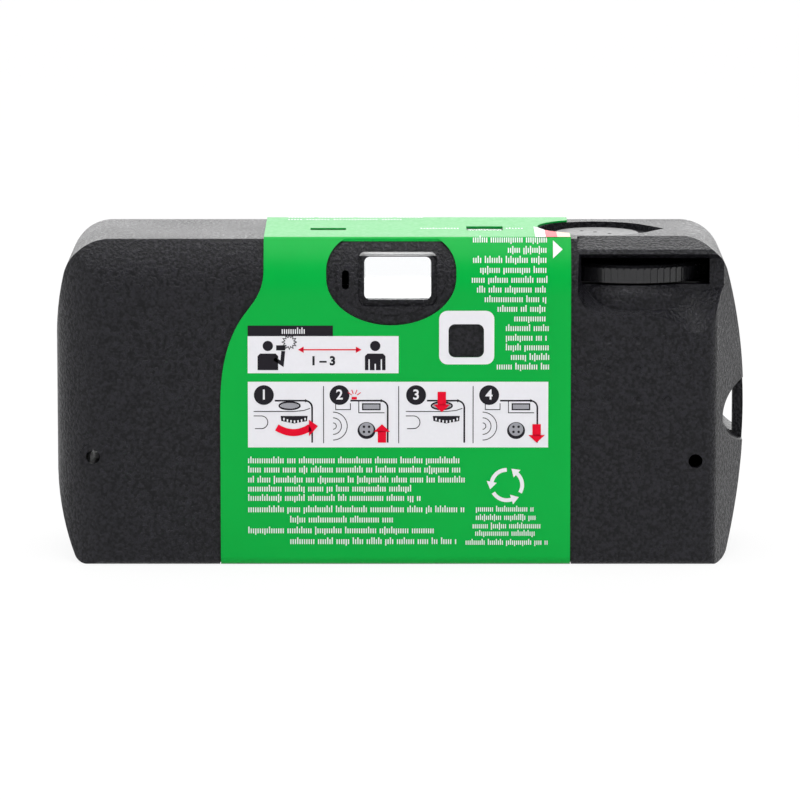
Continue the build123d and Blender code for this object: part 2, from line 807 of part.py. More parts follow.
def make_main_chassis():
    can_top = can_low_z + can_length
    chamber_top = can_top + chamber_gap
    chassis = tunnel_solid(tunnel_wall)
    chassis += block(gate_left_x, gate_right_x, gate_frame_y, gate_frame_y + gate_thickness,
                     film_low_z - rail_height / 2, film_top_z + rail_height / 4)
    chassis += rod_z(roll_x, roll_y, can_low_z, film_top_z + wall, roll_radius + supply_gap + chamber_wall)
    chassis += block(roll_x, gate_left_x + wall, gate_frame_y, gate_frame_y + gate_thickness,
                     film_low_z - rail_height / 2, film_top_z)
    chassis += rod_z(wheel_x, wheel_y, can_low_z, wheel_low_z - face_gap * 2, pillow_radius)
    chassis += block(mount_plate_left_x, mount_plate_right_x, tunnel_front_y,
                     tunnel_front_y + mount_plate_thickness,
                     mount_plate_low_z, window_low_z - tube_wall - fit_gap)
    chassis += block(deck_left_x, mount_plate_right_x, tunnel_front_y, tunnel_front_y + mount_plate_thickness,
                     lens_z, deck_low_z + deck_thickness)
    chassis += block(deck_left_x, deck_right_x, deck_back_y, deck_front_y, deck_low_z,
                     deck_low_z + deck_thickness)
    chassis += block(deck_left_x, deck_left_x + wall, deck_back_y, tunnel_front_y, lens_z + gate_height / 2,
                     deck_low_z)
    chassis += block(gate_left_x, mount_plate_left_x + wall * 3, gate_frame_y, tunnel_front_y / 2,
                     lamp_shelf_z,
                     lamp_shelf_z + chamber_wall)
    sprocket_reach = sprocket_radius + sprocket_tooth + loose_gap
    chassis += block(sprocket_x - shaft_radius * 2, sprocket_x + shaft_radius * 2, gate_frame_y, sprocket_y,
                     lens_z + gate_height / 2, sprocket_low_z - face_gap)
    chassis -= tunnel_solid(0)
    chassis -= along_y(Pos(0, lens_z) * Rectangle(gate_width, gate_height), gate_frame_y - overrun,
                       gate_frame_y + face_gap)
    chassis -= rod_y(0, lens_z, 0, tunnel_front_y + overrun, shutter_hole_radius)
    chassis -= rod_z(roll_x, roll_y, can_low_z + chamber_wall, film_top_z + fit_gap, roll_radius + supply_gap)
    chassis -= block(-half_width, roll_x + roll_radius + wall * 2, back_y, gate_frame_y, 0, body_height)
    chassis -= rod_z(wheel_x, wheel_y, 0, chamber_top - face_gap, chamber_radius)
    chassis -= rod_z(wheel_x, wheel_y, 0, body_height, wheel_hub_radius + hub_gap)
    chassis -= block(lip_start_x - wall, lip_end_x + wall, back_y, lip_front_y + wall / 2, 0,
                     deck_low_z - fit_gap)
    chassis -= block(lip_start_x - wall, half_width, back_y, recess_floor_y + fit_gap, 0, body_height)
    chassis -= block(thumb_block_left_x - fit_gap, half_width, back_y, thumb_block_front_y + fit_gap,
                     thumb_block_low_z - fit_gap, body_height)
    chassis -= strap_notch(notch_radius + notch_wall + fit_gap)
    chassis -= rod_z(sprocket_x, sprocket_y, deck_low_z - overrun, body_height, shaft_radius + pin_gap)
    chassis -= rod_z(stem_x, stem_y, stem_low_z - button_travel - fit_gap, body_height, stem_radius + fit_gap)
    chassis -= rod_z(roll_x, roll_y, can_low_z + wall, body_height, roll_core_bore)
    chassis += rod_z(sprocket_x, sprocket_y, lens_z + gate_height / 2, sprocket_low_z - face_gap,
                     shaft_radius * 2)
    chassis -= rod_z(sprocket_x, sprocket_y, sprocket_low_z - wall, body_height, shaft_radius + pin_gap)
    chassis -= rod_z(sprocket_x, sprocket_y, sprocket_low_z - face_gap, deck_low_z - face_gap * 2,
                     sprocket_reach)
    chassis += rod_z(dial_x, dial_y, deck_low_z, dial_low_z - face_gap, post_radius)
    chassis += rod_z(dial_x, dial_y, dial_low_z - wall, dial_top_z + fit_gap, post_pin_radius)
    chassis += rod_z(pawl_x, pawl_y, deck_low_z, pawl_low_z - face_gap, pawl_hub_radius)
    chassis += rod_z(pawl_x, pawl_y, deck_low_z, pawl_low_z + pawl_thickness + fit_gap, pin_radius)
    for pivot, reach in ((blade_pivot, blade_y + blade_thickness + fit_gap),
                         (kick_pivot, kick_y + kick_thickness + fit_gap),
                         (release_pivot, release_y + release_thickness + face_gap)):
        chassis += rod_y(pivot[0], pivot[1], tunnel_front_y, reach, pin_radius)
    chassis += rod_y(kick_pivot[0], kick_pivot[1], tunnel_front_y, kick_y - face_gap, lever_hub_radius)
    chassis += rod_y(release_pivot[0], release_pivot[1], tunnel_front_y, release_y - face_gap,
                     lever_hub_radius)
    chassis += battery_cradle()
    chassis += rod_y(blade_tail[0], blade_post_z, tunnel_front_y, kick_y + kick_thickness, pin_radius)
    for z in (board_low_z + wall * 2, board_high_z - wall * 2):
        chassis += rod_y(roll_x, z, roll_y + roll_radius + supply_gap + chamber_wall / 2, board_y - face_gap,
                         wall)
    return chassis & body_solid(wall + face_gap)


def battery_cradle():
    top_z = battery_low_z + battery_radius * 2 + fit_gap
    plate_front_y = tunnel_front_y + mount_plate_thickness
    cradle = block(-cradle_half, cradle_half, cradle_back_y, cradle_back_y + chamber_wall - face_gap * 2,
                   battery_low_z, top_z + chamber_wall)
    cradle += block(-cradle_half, cradle_half, cradle_back_y, plate_front_y, top_z, top_z + chamber_wall)
    for side in (-1, 1):
        near = side * (battery_length / 2 + contact_thickness + face_gap * 2)
        far = side * cradle_half
        cradle += block(min(near, far), max(near, far), cradle_back_y, battery_y + battery_radius * 2 / 3,
                        battery_low_z, top_z + chamber_wall)
    return cradle


def make_lids():
    battery_lid = block(-battery_lid_half, battery_lid_half, battery_lid_back_y, battery_lid_front_y,
                        label_build,
                        label_build + lid_thickness)
    door = block(door_left_x, door_right_x, door_back_y, door_front_y, door_low_z, door_low_z + lid_thickness)
    hinge_z = door_low_z + lid_thickness / 2
    door += rod_x(door_back_y, hinge_z, door_left_x, door_right_x, lid_thickness / 2)
    catch = block(wheel_x - wall * 2, wheel_x + wall * 2, door_front_y - wall * 2, door_front_y - wall,
                  door_low_z + lid_thickness / 2, can_low_z - face_gap)
    return battery_lid, door + catch


def make_viewfinder():
    left = window_left_x - tube_wall
    right = window_right_x + tube_wall
    low = window_low_z - tube_wall
    high = window_high_z + tube_wall
    tube = block(left, right, tube_back_y, tube_front_y, low, high)
    tube -= block(window_left_x, window_right_x, tube_back_y - overrun, tube_front_y + overrun, window_low_z,
                  window_high_z)
    seat = finder_lens_thickness + face_gap
    half_wall = tube_wall / 2
    tube -= block(window_left_x - half_wall, window_right_x + half_wall, tube_back_y - overrun,
                  tube_back_y + seat,
                  window_low_z - half_wall, window_high_z + half_wall)
    edge = half_wall - face_gap
    rear = block(window_left_x - edge, window_right_x + edge, tube_back_y,
                 tube_back_y + finder_lens_thickness,
                 window_low_z - edge, window_high_z + edge)
    front = block(front_window_left_x, front_window_right_x, tube_front_y + face_gap, front_y - face_gap,
                  front_window_low_z, front_window_high_z)
    hollow = Pos((window_left_x + window_right_x) / 2, tube_front_y - front_y,
                 (window_low_z + window_high_z) / 2)
    front -= hollow * Sphere(front_y - tube_front_y + wall)
    return tube, rear, front


def make_lens_group():
    holder = block(-holder_half_width, holder_half_width, holder_y, holder_y + holder_thickness, holder_low_z,
                   holder_high_z)
    plate_y = tunnel_front_y + mount_plate_thickness
    for x in (-holder_half_width + wall, holder_half_width - wall):
        holder += rod_y(x, holder_low_z + wall, plate_y, holder_y, wall)
    holder += rod_y(-holder_half_width + wall, holder_high_z - wall, plate_y, holder_y, wall)
    seat_y = holder_y + holder_thickness
    holder += rod_y(0, lens_z, holder_y, seat_y + holder_seat_height, holder_seat_radius)
    holder -= rod_y(0, lens_z, seat_y, seat_y + overrun, lens_radius + lens_seat_gap)
    holder -= rod_y(0, lens_z, holder_y - overrun, seat_y + overrun, aperture_radius)
    edge_y = seat_y + face_gap
    back_curve = lens_arc(edge_y, lens_crown * 3 / 4)
    front_curve = lens_arc(edge_y + lens_edge, lens_crown)
    profile = make_face([back_curve, Line(back_curve @ 1, front_curve @ 1), front_curve,
                         Line(front_curve @ 0, back_curve @ 0)])
    lens = Pos(0, 0, lens_z) * revolve(profile, Axis.Y)
    bezel_y = body_depth / 2
    bezel = rod_y(0, lens_z, front_y + label_build, bezel_y, bezel_radius)
    bezel = fillet(bezel.edges().group_by(Axis.Y)[-1], wall / 2)
    hub_y = seat_y + holder_seat_height + face_gap
    bezel += rod_y(0, lens_z, hub_y, front_y + wall, bezel_hub_radius)
    bezel -= bezel_cut(hub_y, bezel_y)
    return holder, lens, bezel


def lens_arc(rim_y, rise):
    """Ball-shaped lens face in section, from the axis to the rim."""
    ball = (lens_radius ** 2 + rise ** 2) / (2 * rise)
    middle_y = rim_y + rise - ball + sqrt(ball ** 2 - lens_radius ** 2 / 4)
    return ThreePointArc((0, rim_y + rise), (lens_radius / 2, middle_y), (lens_radius, rim_y))


def bezel_cut(inner_y, outer_y):
    """Funnel in front of the lens."""
    inner = Plane.XZ * Pos(0, lens_z, -inner_y + face_gap) * Circle(bezel_cone_low)
    outer = Plane.XZ * Pos(0, lens_z, -outer_y - face_gap) * Circle(bezel_cone_high)
    return loft([inner, outer], ruled=True)


def make_shutter_parts():
    top = blade_y + blade_thickness
    blade = rod_y(0, lens_z, blade_y, top, blade_disc_radius)
    blade += bar_xz((0, lens_z), blade_pivot, blade_arm_width, blade_y, top)
    blade += rod_y(blade_pivot[0], blade_pivot[1], blade_y, top, blade_hub_radius)
    blade += bar_xz(blade_pivot, blade_tail, blade_arm_width / 2, blade_y, top)
    blade += rod_y(blade_tail[0], blade_tail[1], blade_y, kick_y + kick_thickness, blade_arm_width / 6)
    blade -= rod_y(blade_pivot[0], blade_pivot[1], blade_y - wall, top + wall, pin_radius + pin_gap)
    kick_top = kick_y + kick_thickness
    kick = bar_xz(kick_pivot, kick_tip, kick_width, kick_y, kick_top)
    kick += bar_xz(kick_pivot, kick_tail, kick_width, kick_y, kick_top)
    kick += rod_y(kick_pivot[0], kick_pivot[1], kick_y, kick_top, lever_hub_radius)
    kick -= rod_y(kick_pivot[0], kick_pivot[1], kick_y - wall, kick_top + wall, pin_radius + pin_gap)
    release_top = release_y + release_thickness
    release = bar_xz(release_pivot, release_tip, release_width, release_y, release_top)
    release += bar_xz(release_pivot, release_finger, release_width, release_y, release_top)
    release += rod_y(release_pivot[0], release_pivot[1], release_y, release_top, lever_hub_radius)
    release -= rod_y(release_pivot[0], release_pivot[1], release_y - wall, release_top + wall,
                     pin_radius + pin_gap)
    return blade, kick, release


def coil(radius, wire, turns, height):
    """Open helical spring, standing on its lower end."""
    path = Helix(pitch=(height - wire * 2) / turns, height=height - wire * 2, radius=radius)
    section = Plane(origin=path @ 0, z_dir=path % 0) * Circle(wire)
    return Pos(0, 0, wire) * sweep(section, path=path)


def make_thumbwheel():
    wheel = rod_z(wheel_x, wheel_y, wheel_low_z, wheel_top_z, wheel_radius)
    cutters = []
    reach = wheel_radius + wheel_tooth_depth / 4
    for i in range(wheel_teeth):
        angle = 2 * pi * i / wheel_teeth
        place = Pos(wheel_x + reach * cos(angle), wheel_y + reach * sin(angle)) * Rot(0, 0, degrees(angle))
        cutters.append(along_z(place * RegularPolygon(wheel_tooth_depth, 3), wheel_low_z - wall,
                               wheel_top_z + wall))
    wheel -= cutters
    rim = rod_z(wheel_x, wheel_y, wheel_low_z, wheel_top_z, wheel_radius + wheel_tooth_depth)
    wheel &= chamfer(rim.edges().group_by(Axis.Z)[-1], wheel_bevel)
    wheel -= rod_z(wheel_x, wheel_y, wheel_top_z - wheel_dish_depth, wheel_top_z + wall, wheel_dish_radius)
    wheel += rod_z(wheel_x, wheel_y, can_low_z + can_length + face_gap * 2, wheel_low_z, wheel_hub_radius)
    key_low_z = can_low_z + can_length - wheel_key_length
    wheel += rod_z(wheel_x, wheel_y, key_low_z, wheel_low_z, wheel_key_radius)
    return wheel


def make_cartridge():
    can_top = can_low_z + can_length
    can = rod_z(wheel_x, wheel_y, can_low_z, can_top, can_radius)
    can += block(lip_start_x, lip_end_x, lip_back_y, lip_front_y, film_low_z - wall / 2, film_top_z)
    can -= rod_z(wheel_x, wheel_y, can_low_z + can_wall, can_top - can_wall, can_radius - can_wall)
    can -= rod_z(wheel_x, wheel_y, can_low_z - wall, can_top + wall, can_cap_hole)
    spool = rod_z(wheel_x, wheel_y, can_low_z + face_gap, can_top - face_gap, spool_radius)
    for z in (can_low_z + can_wall + loose_gap, can_top - can_wall - loose_gap - roll_flange):
        spool += rod_z(wheel_x, wheel_y, z, z + roll_flange, can_radius - can_wall - loose_gap)
    spool -= rod_z(wheel_x, wheel_y, can_top - spool_bore_depth, can_top, spool_bore)
    spool -= rod_z(wheel_x, wheel_y, can_low_z, can_low_z + spool_bore_depth, spool_bore)
    return can, spool


def make_film():
    """The strip across the gate, and the unexposed roll that feeds it."""
    tangent_y = roll_y - roll_radius - fit_gap
    line = Polyline((roll_x, tangent_y), (gate_left_x + wall, film_y), (lip_start_x - face_gap, film_y),
                    (lip_start_x - face_gap, film_y - film_thickness), (gate_left_x + wall,
                                                                        film_y - film_thickness),
                    (roll_x, tangent_y - film_thickness), close=True)
    strip = along_z(make_face(line), film_low_z, film_top_z)
    roll = rod_z(roll_x, roll_y, film_low_z, film_top_z, roll_radius)
    roll -= rod_z(roll_x, roll_y, film_low_z - wall, film_top_z + wall, roll_core_bore)
    core_low_z = can_low_z + chamber_wall + fit_gap
    core = rod_z(roll_x, roll_y, core_low_z, film_top_z + wall, roll_core_bore - face_gap)
    core += rod_z(roll_x, roll_y, core_low_z, film_low_z - face_gap, roll_core_radius)
    return strip, roll, core


def make_sprocket():
    sprocket = rod_z(sprocket_x, sprocket_y, sprocket_low_z, sprocket_low_z + sprocket_thickness,
                     sprocket_radius)
    tooth = Pos(sprocket_radius + sprocket_tooth / 2 - wall / 4, 0, 0)
    tooth *= Box(sprocket_tooth + wall / 2, sprocket_tooth, sprocket_tooth)
    for i in range(sprocket_teeth):
        place = Pos(sprocket_x, sprocket_y, sprocket_low_z + sprocket_thickness / 2)
        sprocket += place * Rot(0, 0, 360 / sprocket_teeth * i + 90) * tooth
    sprocket += rod_z(sprocket_x, sprocket_y, sprocket_low_z - wall + face_gap, dial_top_z, shaft_radius)
    sprocket += rod_z(sprocket_x, sprocket_y, cam_low_z, dial_top_z, cam_radius)
    return sprocket


def make_counter():
    dial = rod_z(dial_x, dial_y, dial_low_z, dial_top_z, dial_radius)
    cutters = []
    for i in range(dial_teeth):
        angle = 2 * pi * i / dial_teeth
        place = Pos(dial_x + dial_radius * cos(angle), dial_y + dial_radius * sin(angle))
        cutters.append(along_z(place * Circle(dial_tooth_depth), dial_low_z - wall, dial_top_z + wall))
    dial -= cutters
    dial -= rod_z(dial_x, dial_y, dial_low_z - wall, dial_top_z + wall, post_pin_radius + pin_gap)
    window = counter_opening(-face_gap)
    window &= block(0, half_width, back_y, front_y, body_height - wall - loose_gap, body_height + face_gap)
    charge_top = charge_low_z + charge_thickness
    charge = rod_z(dial_x, dial_y, charge_low_z, charge_top, charge_hub_radius)
    charge += bar_xy((dial_x, dial_y), (sprocket_x, charge_back_y), charge_width, charge_low_z, charge_top)
    charge += bar_xy((dial_x, dial_y), (charge_front_x, charge_front_y), charge_width, charge_low_z,
                     charge_top)
    charge -= rod_z(dial_x, dial_y, charge_low_z - wall, charge_top + wall, post_radius + pin_gap)
    pawl = bar_xy((pawl_x, pawl_y), (pawl_tip_x, pawl_tip_y), pawl_width, pawl_low_z,
                  pawl_low_z + pawl_thickness)
    pawl += rod_z(pawl_x, pawl_y, pawl_low_z, pawl_low_z + pawl_thickness, pawl_hub_radius)
    pawl -= rod_z(pawl_x, pawl_y, pawl_low_z - wall, pawl_low_z + pawl_thickness + wall, pin_radius + pin_gap)
    return dial, window, charge, pawl


def make_button():
    button = rod_z(button_x, button_y, button_bottom_z, button_top_z, button_radius)
    button = fillet(button.edges().group_by(Axis.Z)[-1], face_gap * 6)
    button += rod_z(button_x, button_y, button_flange_low_z, button_bottom_z, button_flange_radius)
    button += bar_xy((button_x, button_y), (stem_x, stem_y), arm_width, button_flange_low_z, button_bottom_z)
    button += rod_z(stem_x, stem_y, stem_low_z, button_bottom_z, stem_radius)
    for x_share, y_share in button_dot_shares:
        button -= rod_z(button_x + x_share * button_radius, button_y + y_share * button_radius,
                        button_top_z - button_dot_depth, button_top_z + wall, button_dot_radius)
    deck_top = deck_low_z + deck_thickness
    spring = coil(spring_radius, spring_wire, spring_turns, button_flange_low_z - deck_top)
    return button, Pos(stem_x, stem_y, deck_top) * spring


def make_flash():
    window = block(flash_left_x, flash_right_x, front_y - flash_window_thickness, front_y + face_gap * 4,
                   flash_low_z, flash_high_z)
    back_z = (flash_low_z + flash_high_z) / 2
    outer_half = (flash_high_z - flash_low_z) / 2
    front_of_reflector = front_y - flash_window_thickness - face_gap

    def trough(inset, back):
        points = [(front_of_reflector, back_z + outer_half - inset), (back, back_z + outer_half / 2 - inset),
                  (back, back_z - outer_half / 2 + inset), (front_of_reflector, back_z - outer_half + inset)]
        return make_face(Polyline(*points, close=True))

    reflector = along_x(trough(0, reflector_back_y), flash_left_x, flash_right_x)
    reflector -= along_x(trough(reflector_wall, reflector_back_y + reflector_wall),
                         flash_left_x + reflector_wall,
                         flash_right_x - reflector_wall)
    tube_y = reflector_back_y + reflector_wall + flash_tube_radius + face_gap
    middle = (flash_left_x + flash_right_x) / 2
    glass = rod_x(tube_y, back_z, middle - flash_tube_length / 2, middle + flash_tube_length / 2,
                  flash_tube_radius)
    return window, reflector, glass


def make_electronics():
    board_front = board_y + board_thickness
    board = block(board_left_x, board_right_x, board_y, board_front, board_low_z, board_high_z)
    capacitor_y = front_y - wall - fit_gap - capacitor_radius
    capacitor_right_x = capacitor_left_x + capacitor_length
    capacitor = rod_x(capacitor_y, capacitor_z, capacitor_left_x, capacitor_right_x, capacitor_radius)
    lead_x = capacitor_right_x + lead_radius
    for z in (capacitor_z - coil_radius, capacitor_z + coil_radius / 2):
        capacitor += block(capacitor_right_x - lead_radius, lead_x + lead_radius, board_y, capacitor_y, z,
                           z + lead_radius)
        capacitor += block(lead_x, lead_x + lead_radius, board_y, board_y + lead_radius, z,
                           board_low_z - face_gap)
    mounted_y = board_front + face_gap
    core = block(transformer_x - transformer_size / 2, transformer_x + transformer_size / 2, mounted_y,
                 mounted_y + transformer_size, transformer_z, transformer_z + transformer_size)
    coil_y = mounted_y + coil_radius
    transformer = core + rod_z(transformer_x, mounted_y + transformer_size / 2, transformer_z - lead_radius,
                               transformer_z + transformer_size + lead_radius, transformer_size / 2 - lead_radius)
    trigger = rod_x(coil_y, trigger_z, trigger_x, trigger_x + coil_length, coil_radius)
    for x in (trigger_x, trigger_x + coil_length):
        trigger += rod_x(coil_y, trigger_z, x - lead_radius, x + lead_radius, coil_radius + fit_gap / 3)
    parts = []
    for row in range(resistor_count):
        parts.append(rod_x(mounted_y + resistor_radius, resistor_low_z + row * resistor_pitch, resistor_x,
                           resistor_x + resistor_length, resistor_radius))
    can_axis = rod_y(filter_x, filter_z, mounted_y, mounted_y + coil_length * 2 / 3, coil_radius)
    transistor = rod_z(transistor_x, mounted_y + resistor_radius, filter_z,
                       filter_z + transformer_size * 2 / 3,
                       transistor_radius) & block(board_left_x, board_right_x, mounted_y, front_y, 0,
                                                  body_height)
    return board, capacitor, transformer, trigger, Compound(children=parts + [can_axis, transistor])


def make_switch():
    """Slide switch that charges the flash: pad outside, neck through the slot, flange inside."""
    pad_y = front_y + face_gap * 2
    pad = rod_y(switch_x, switch_low_z, pad_y, pad_y + switch_pad_thickness, switch_pad_radius)
    pad = fillet(pad.edges().group_by(Axis.Y)[-1], wall / 3)
    for side, level in ((-1, -1), (-1, 1), (1, -1), (1, 1)):
        place = Pos(switch_x + side * switch_pad_radius / 3, pad_y + switch_pad_thickness,
                    switch_low_z + level * switch_pad_radius / 3)
        pad += place * Sphere(switch_dot_radius)
    flange_y = front_y - wall - face_gap * 2
    pad += block(switch_x - switch_stem_width / 2, switch_x + switch_stem_width / 2, flange_y, pad_y,
                 switch_low_z - switch_stem_height / 2, switch_low_z + switch_stem_height / 2)
    pad += block(switch_x - switch_flange_width / 2, switch_x + switch_flange_width / 2,
                 flange_y - switch_flange_thickness, flange_y, switch_low_z - switch_flange_height / 2,
                 switch_low_z + switch_flange_height / 2)
    reach_y = flange_y - switch_flange_thickness - fit_gap
    root_y = board_y + board_thickness + face_gap
    thick = contact_thickness
    line = Polyline((root_y, contact_root_z), (root_y, contact_root_z + thick),
                    (reach_y, contact_bend_z + thick),
                    (reach_y, switch_low_z), (reach_y - thick, switch_low_z), (reach_y - thick,
                                                                               contact_bend_z),
                    close=True)
    leaf = along_x(make_face(line), switch_x - contact_width / 2, switch_x + contact_width / 2)
    return pad, leaf


def make_power():
    nub_x = battery_length / 2
    can = rod_x(battery_y, battery_low_z + battery_radius, -nub_x, nub_x - battery_nub_length, battery_radius)
    can = fillet(can.edges(), contact_thickness)
    battery = can + rod_x(battery_y, battery_low_z + battery_radius, 0, nub_x, battery_nub_radius)
    contacts = []
    for side in (-1, 1):
        near = side * (nub_x + face_gap)
        far = near + side * contact_thickness
        contacts.append(block(min(near, far), max(near, far), battery_y - battery_radius / 2,
                              battery_y + battery_radius / 2, battery_low_z, battery_low_z + battery_radius * 2))
    return battery, Compound(children=contacts)


def make_ready_lamp():
    lamp_low = lamp_shelf_z + chamber_wall + face_gap
    lamp_high = lamp_low + lamp_length
    lamp = rod_z(lamp_slot_x, lamp_slot_y, lamp_low, lamp_high, lamp_radius)
    lamp = fillet(lamp.edges().group_by(Axis.Z)[-1], lamp_radius * 3 / 4)
    half_width_x = lamp_slot_width / 2 - loose_gap - fit_gap
    half_width_y = lamp_slot_depth / 2 - loose_gap - fit_gap
    pipe = block(lamp_slot_x - half_width_x, lamp_slot_x + half_width_x, lamp_slot_y - half_width_y,
                 lamp_slot_y + half_width_y, lamp_high + fit_gap, body_height + face_gap)
    shoulder = body_height - wall - face_gap
    pipe += block(lamp_slot_x - half_width_x - wall / 2, lamp_slot_x + half_width_x + wall / 2,
                  lamp_slot_y - half_width_y - wall / 2, lamp_slot_y + half_width_y + wall / 2, shoulder - wall, shoulder)
    return lamp, pipe


def make_small_springs():
    plate_y = tunnel_front_y + mount_plate_thickness
    kick_height = kick_y - fit_gap - plate_y - face_gap
    kick = Plane.XZ * Pos(kick_pivot[0], kick_pivot[1], fit_gap - kick_y)
    kick *= coil(lever_hub_radius + kick_wire * 2, kick_wire, kick_turns, kick_height)
    blade_low = blade_tail[1] + wall / 2
    blade = Pos(blade_tail[0], kick_y + kick_thickness / 2, blade_low)
    blade *= coil(blade_spring_radius, blade_wire, blade_turns, blade_post_z - pin_radius - blade_low)
    sync = []
    for step in (0, 1):
        y = plate_y + face_gap + step * contact_thickness * 2
        sync.append(block(sync_x, sync_x + contact_width / 2, y, y + contact_thickness / 2, sync_low_z,
                          sync_high_z - step * wall))
    return kick, blade, Compound(children=sync)


def main():
    os.makedirs("parts", exist_ok=True)
    shell = shell_with_inner_walls()
    battery_lid, door = make_lids()
    tube, rear_lens, front_lens = make_viewfinder()
    holder, lens, bezel = make_lens_group()
    blade, kick, release = make_shutter_parts()
    can, spool = make_cartridge()
    strip, roll, core = make_film()
    dial, counter_window, charge, pawl = make_counter()
    button, button_spring = make_button()
    flash_window, reflector, glass = make_flash()
    board, capacitor, transformer, trigger, board_parts = make_electronics()
    switch, leaf = make_switch()
    battery, contacts = make_power()
    lamp, pipe = make_ready_lamp()
    kick_spring, blade_spring, sync = make_small_springs()
    parts = {
        "rear_cover": make_rear_cover(shell), "front_cover": make_front_cover(shell), "wrap_label": make_wrap_label(),
        "main_chassis": make_main_chassis(), "battery_lid": battery_lid, "film_door": door,
        "viewfinder_tube": tube, "viewfinder_rear_lens": rear_lens, "viewfinder_front_lens": front_lens,
        "lens_holder": holder, "taking_lens": lens, "lens_bezel": bezel, "shutter_blade": blade,
        "kick_lever": kick, "release_lever": release, "kick_spring": kick_spring, "blade_spring": blade_spring,
        "sync_contacts": sync, "thumbwheel": make_thumbwheel(), "cartridge_shell": can, "cartridge_spool": spool,
        "film_strip": strip, "film_roll": roll, "supply_core": core, "sprocket": make_sprocket(),
        "counter_dial": dial, "counter_window": counter_window, "charge_lever": charge, "wheel_pawl": pawl,
        "shutter_button": button, "button_spring": button_spring, "flash_window": flash_window,
        "flash_reflector": reflector, "flash_tube": glass, "circuit_board": board, "capacitor": capacitor,
        "transformer": transformer, "trigger_coil": trigger, "board_parts": board_parts, "flash_switch": switch,
        "switch_contact": leaf, "battery": battery, "battery_contacts": contacts, "ready_lamp": lamp,
        "lamp_light_pipe": pipe,
    }
    for name, part in parts.items():
        export_step(part, "parts/" + name + ".step")


main()
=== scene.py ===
import math
import random
import bmesh
import bpy
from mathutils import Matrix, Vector


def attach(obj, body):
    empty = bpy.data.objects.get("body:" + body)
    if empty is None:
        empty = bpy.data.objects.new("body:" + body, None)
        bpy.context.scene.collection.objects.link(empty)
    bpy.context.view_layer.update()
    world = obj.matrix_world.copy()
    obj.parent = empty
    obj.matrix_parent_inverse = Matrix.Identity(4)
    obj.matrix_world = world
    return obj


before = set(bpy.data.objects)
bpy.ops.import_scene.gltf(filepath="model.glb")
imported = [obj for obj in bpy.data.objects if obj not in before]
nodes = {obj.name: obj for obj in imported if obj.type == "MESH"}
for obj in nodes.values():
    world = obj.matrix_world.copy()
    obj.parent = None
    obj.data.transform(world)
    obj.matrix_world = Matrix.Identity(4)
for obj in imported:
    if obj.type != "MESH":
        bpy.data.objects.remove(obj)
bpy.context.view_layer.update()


class Value:
    """A socket in a material's node tree that adds and multiplies like a number."""

    def __init__(self, surface, socket):
        self.surface = surface
        self.socket = socket

    def __add__(self, other):
        return self.surface.math("ADD", self, other)

    def __mul__(self, other):
        return self.surface.math("MULTIPLY", self, other)


class Surface:
    """A material and its shader, with one method for each kind of node that it needs."""

    def __init__(self, name, color, roughness, **sockets):
        self.material = bpy.data.materials.new(name)
        self.material.use_nodes = True
        self.tree = self.material.node_tree
        self.shader = self.tree.nodes["Principled BSDF"]
        self.shader.inputs["Base Color"].default_value = (*color, 1)
        self.shader.inputs["Roughness"].default_value = roughness
        for socket, value in sockets.items():
            self.shader.inputs[socket.replace("_", " ")].default_value = value
        self.place = self.node("ShaderNodeTexCoord", "Object")

    def plug(self, value, socket):
        if isinstance(value, Value):
            self.tree.links.new(value.socket, socket)
        else:
            socket.default_value = value

    def node(self, kind, out, **inputs):
        made = self.tree.nodes.new(kind)
        for name, value in inputs.items():
            self.plug(value, made.inputs[name.replace("_", " ")])
        return Value(self, made.outputs[out])

    def math(self, operation, *values):
        made = self.tree.nodes.new("ShaderNodeMath")
        made.operation = operation
        for value, socket in zip(values, made.inputs):
            self.plug(value, socket)
        return Value(self, made.outputs[0])

    def mix(self, first, second, factor):
        """Blend of two colours, each given as red, green and blue or as a socket."""
        made = self.tree.nodes.new("ShaderNodeMix")
        made.data_type = "RGBA"
        low, high = [s for s in made.inputs if s.type == "RGBA"]
        self.plug(factor, made.inputs["Factor"])
        self.plug(first if isinstance(first, Value) else (*first, 1), low)
        self.plug(second if isinstance(second, Value) else (*second, 1), high)
        return Value(self, [s for s in made.outputs if s.type == "RGBA"][0])

    def noise(self, size, detail=2.0):
        """Cloudy pattern whose spots are about the stated size across."""
        return self.node("ShaderNodeTexNoise", "Fac", Vector=self.place, Scale=1 / size, Detail=detail)

    def ramp(self, value, low, high, to_low=0.0, to_high=1.0):
        return self.node("ShaderNodeMapRange", "Result", Value=value, From_Min=low, From_Max=high,
                         To_Min=to_low, To_Max=to_high)

    def feed(self, socket, value):
        self.plug(value, self.shader.inputs[socket])

    def relief(self, height, depth, strength=1.0):
        bump = self.node("ShaderNodeBump", "Normal", Height=height, Distance=depth, Strength=strength)
        self.feed("Normal", bump)

    def dress(self, *names):
        for name in names:
            mesh = nodes[name].data
            mesh.materials.clear()
            mesh.materials.append(self.material)


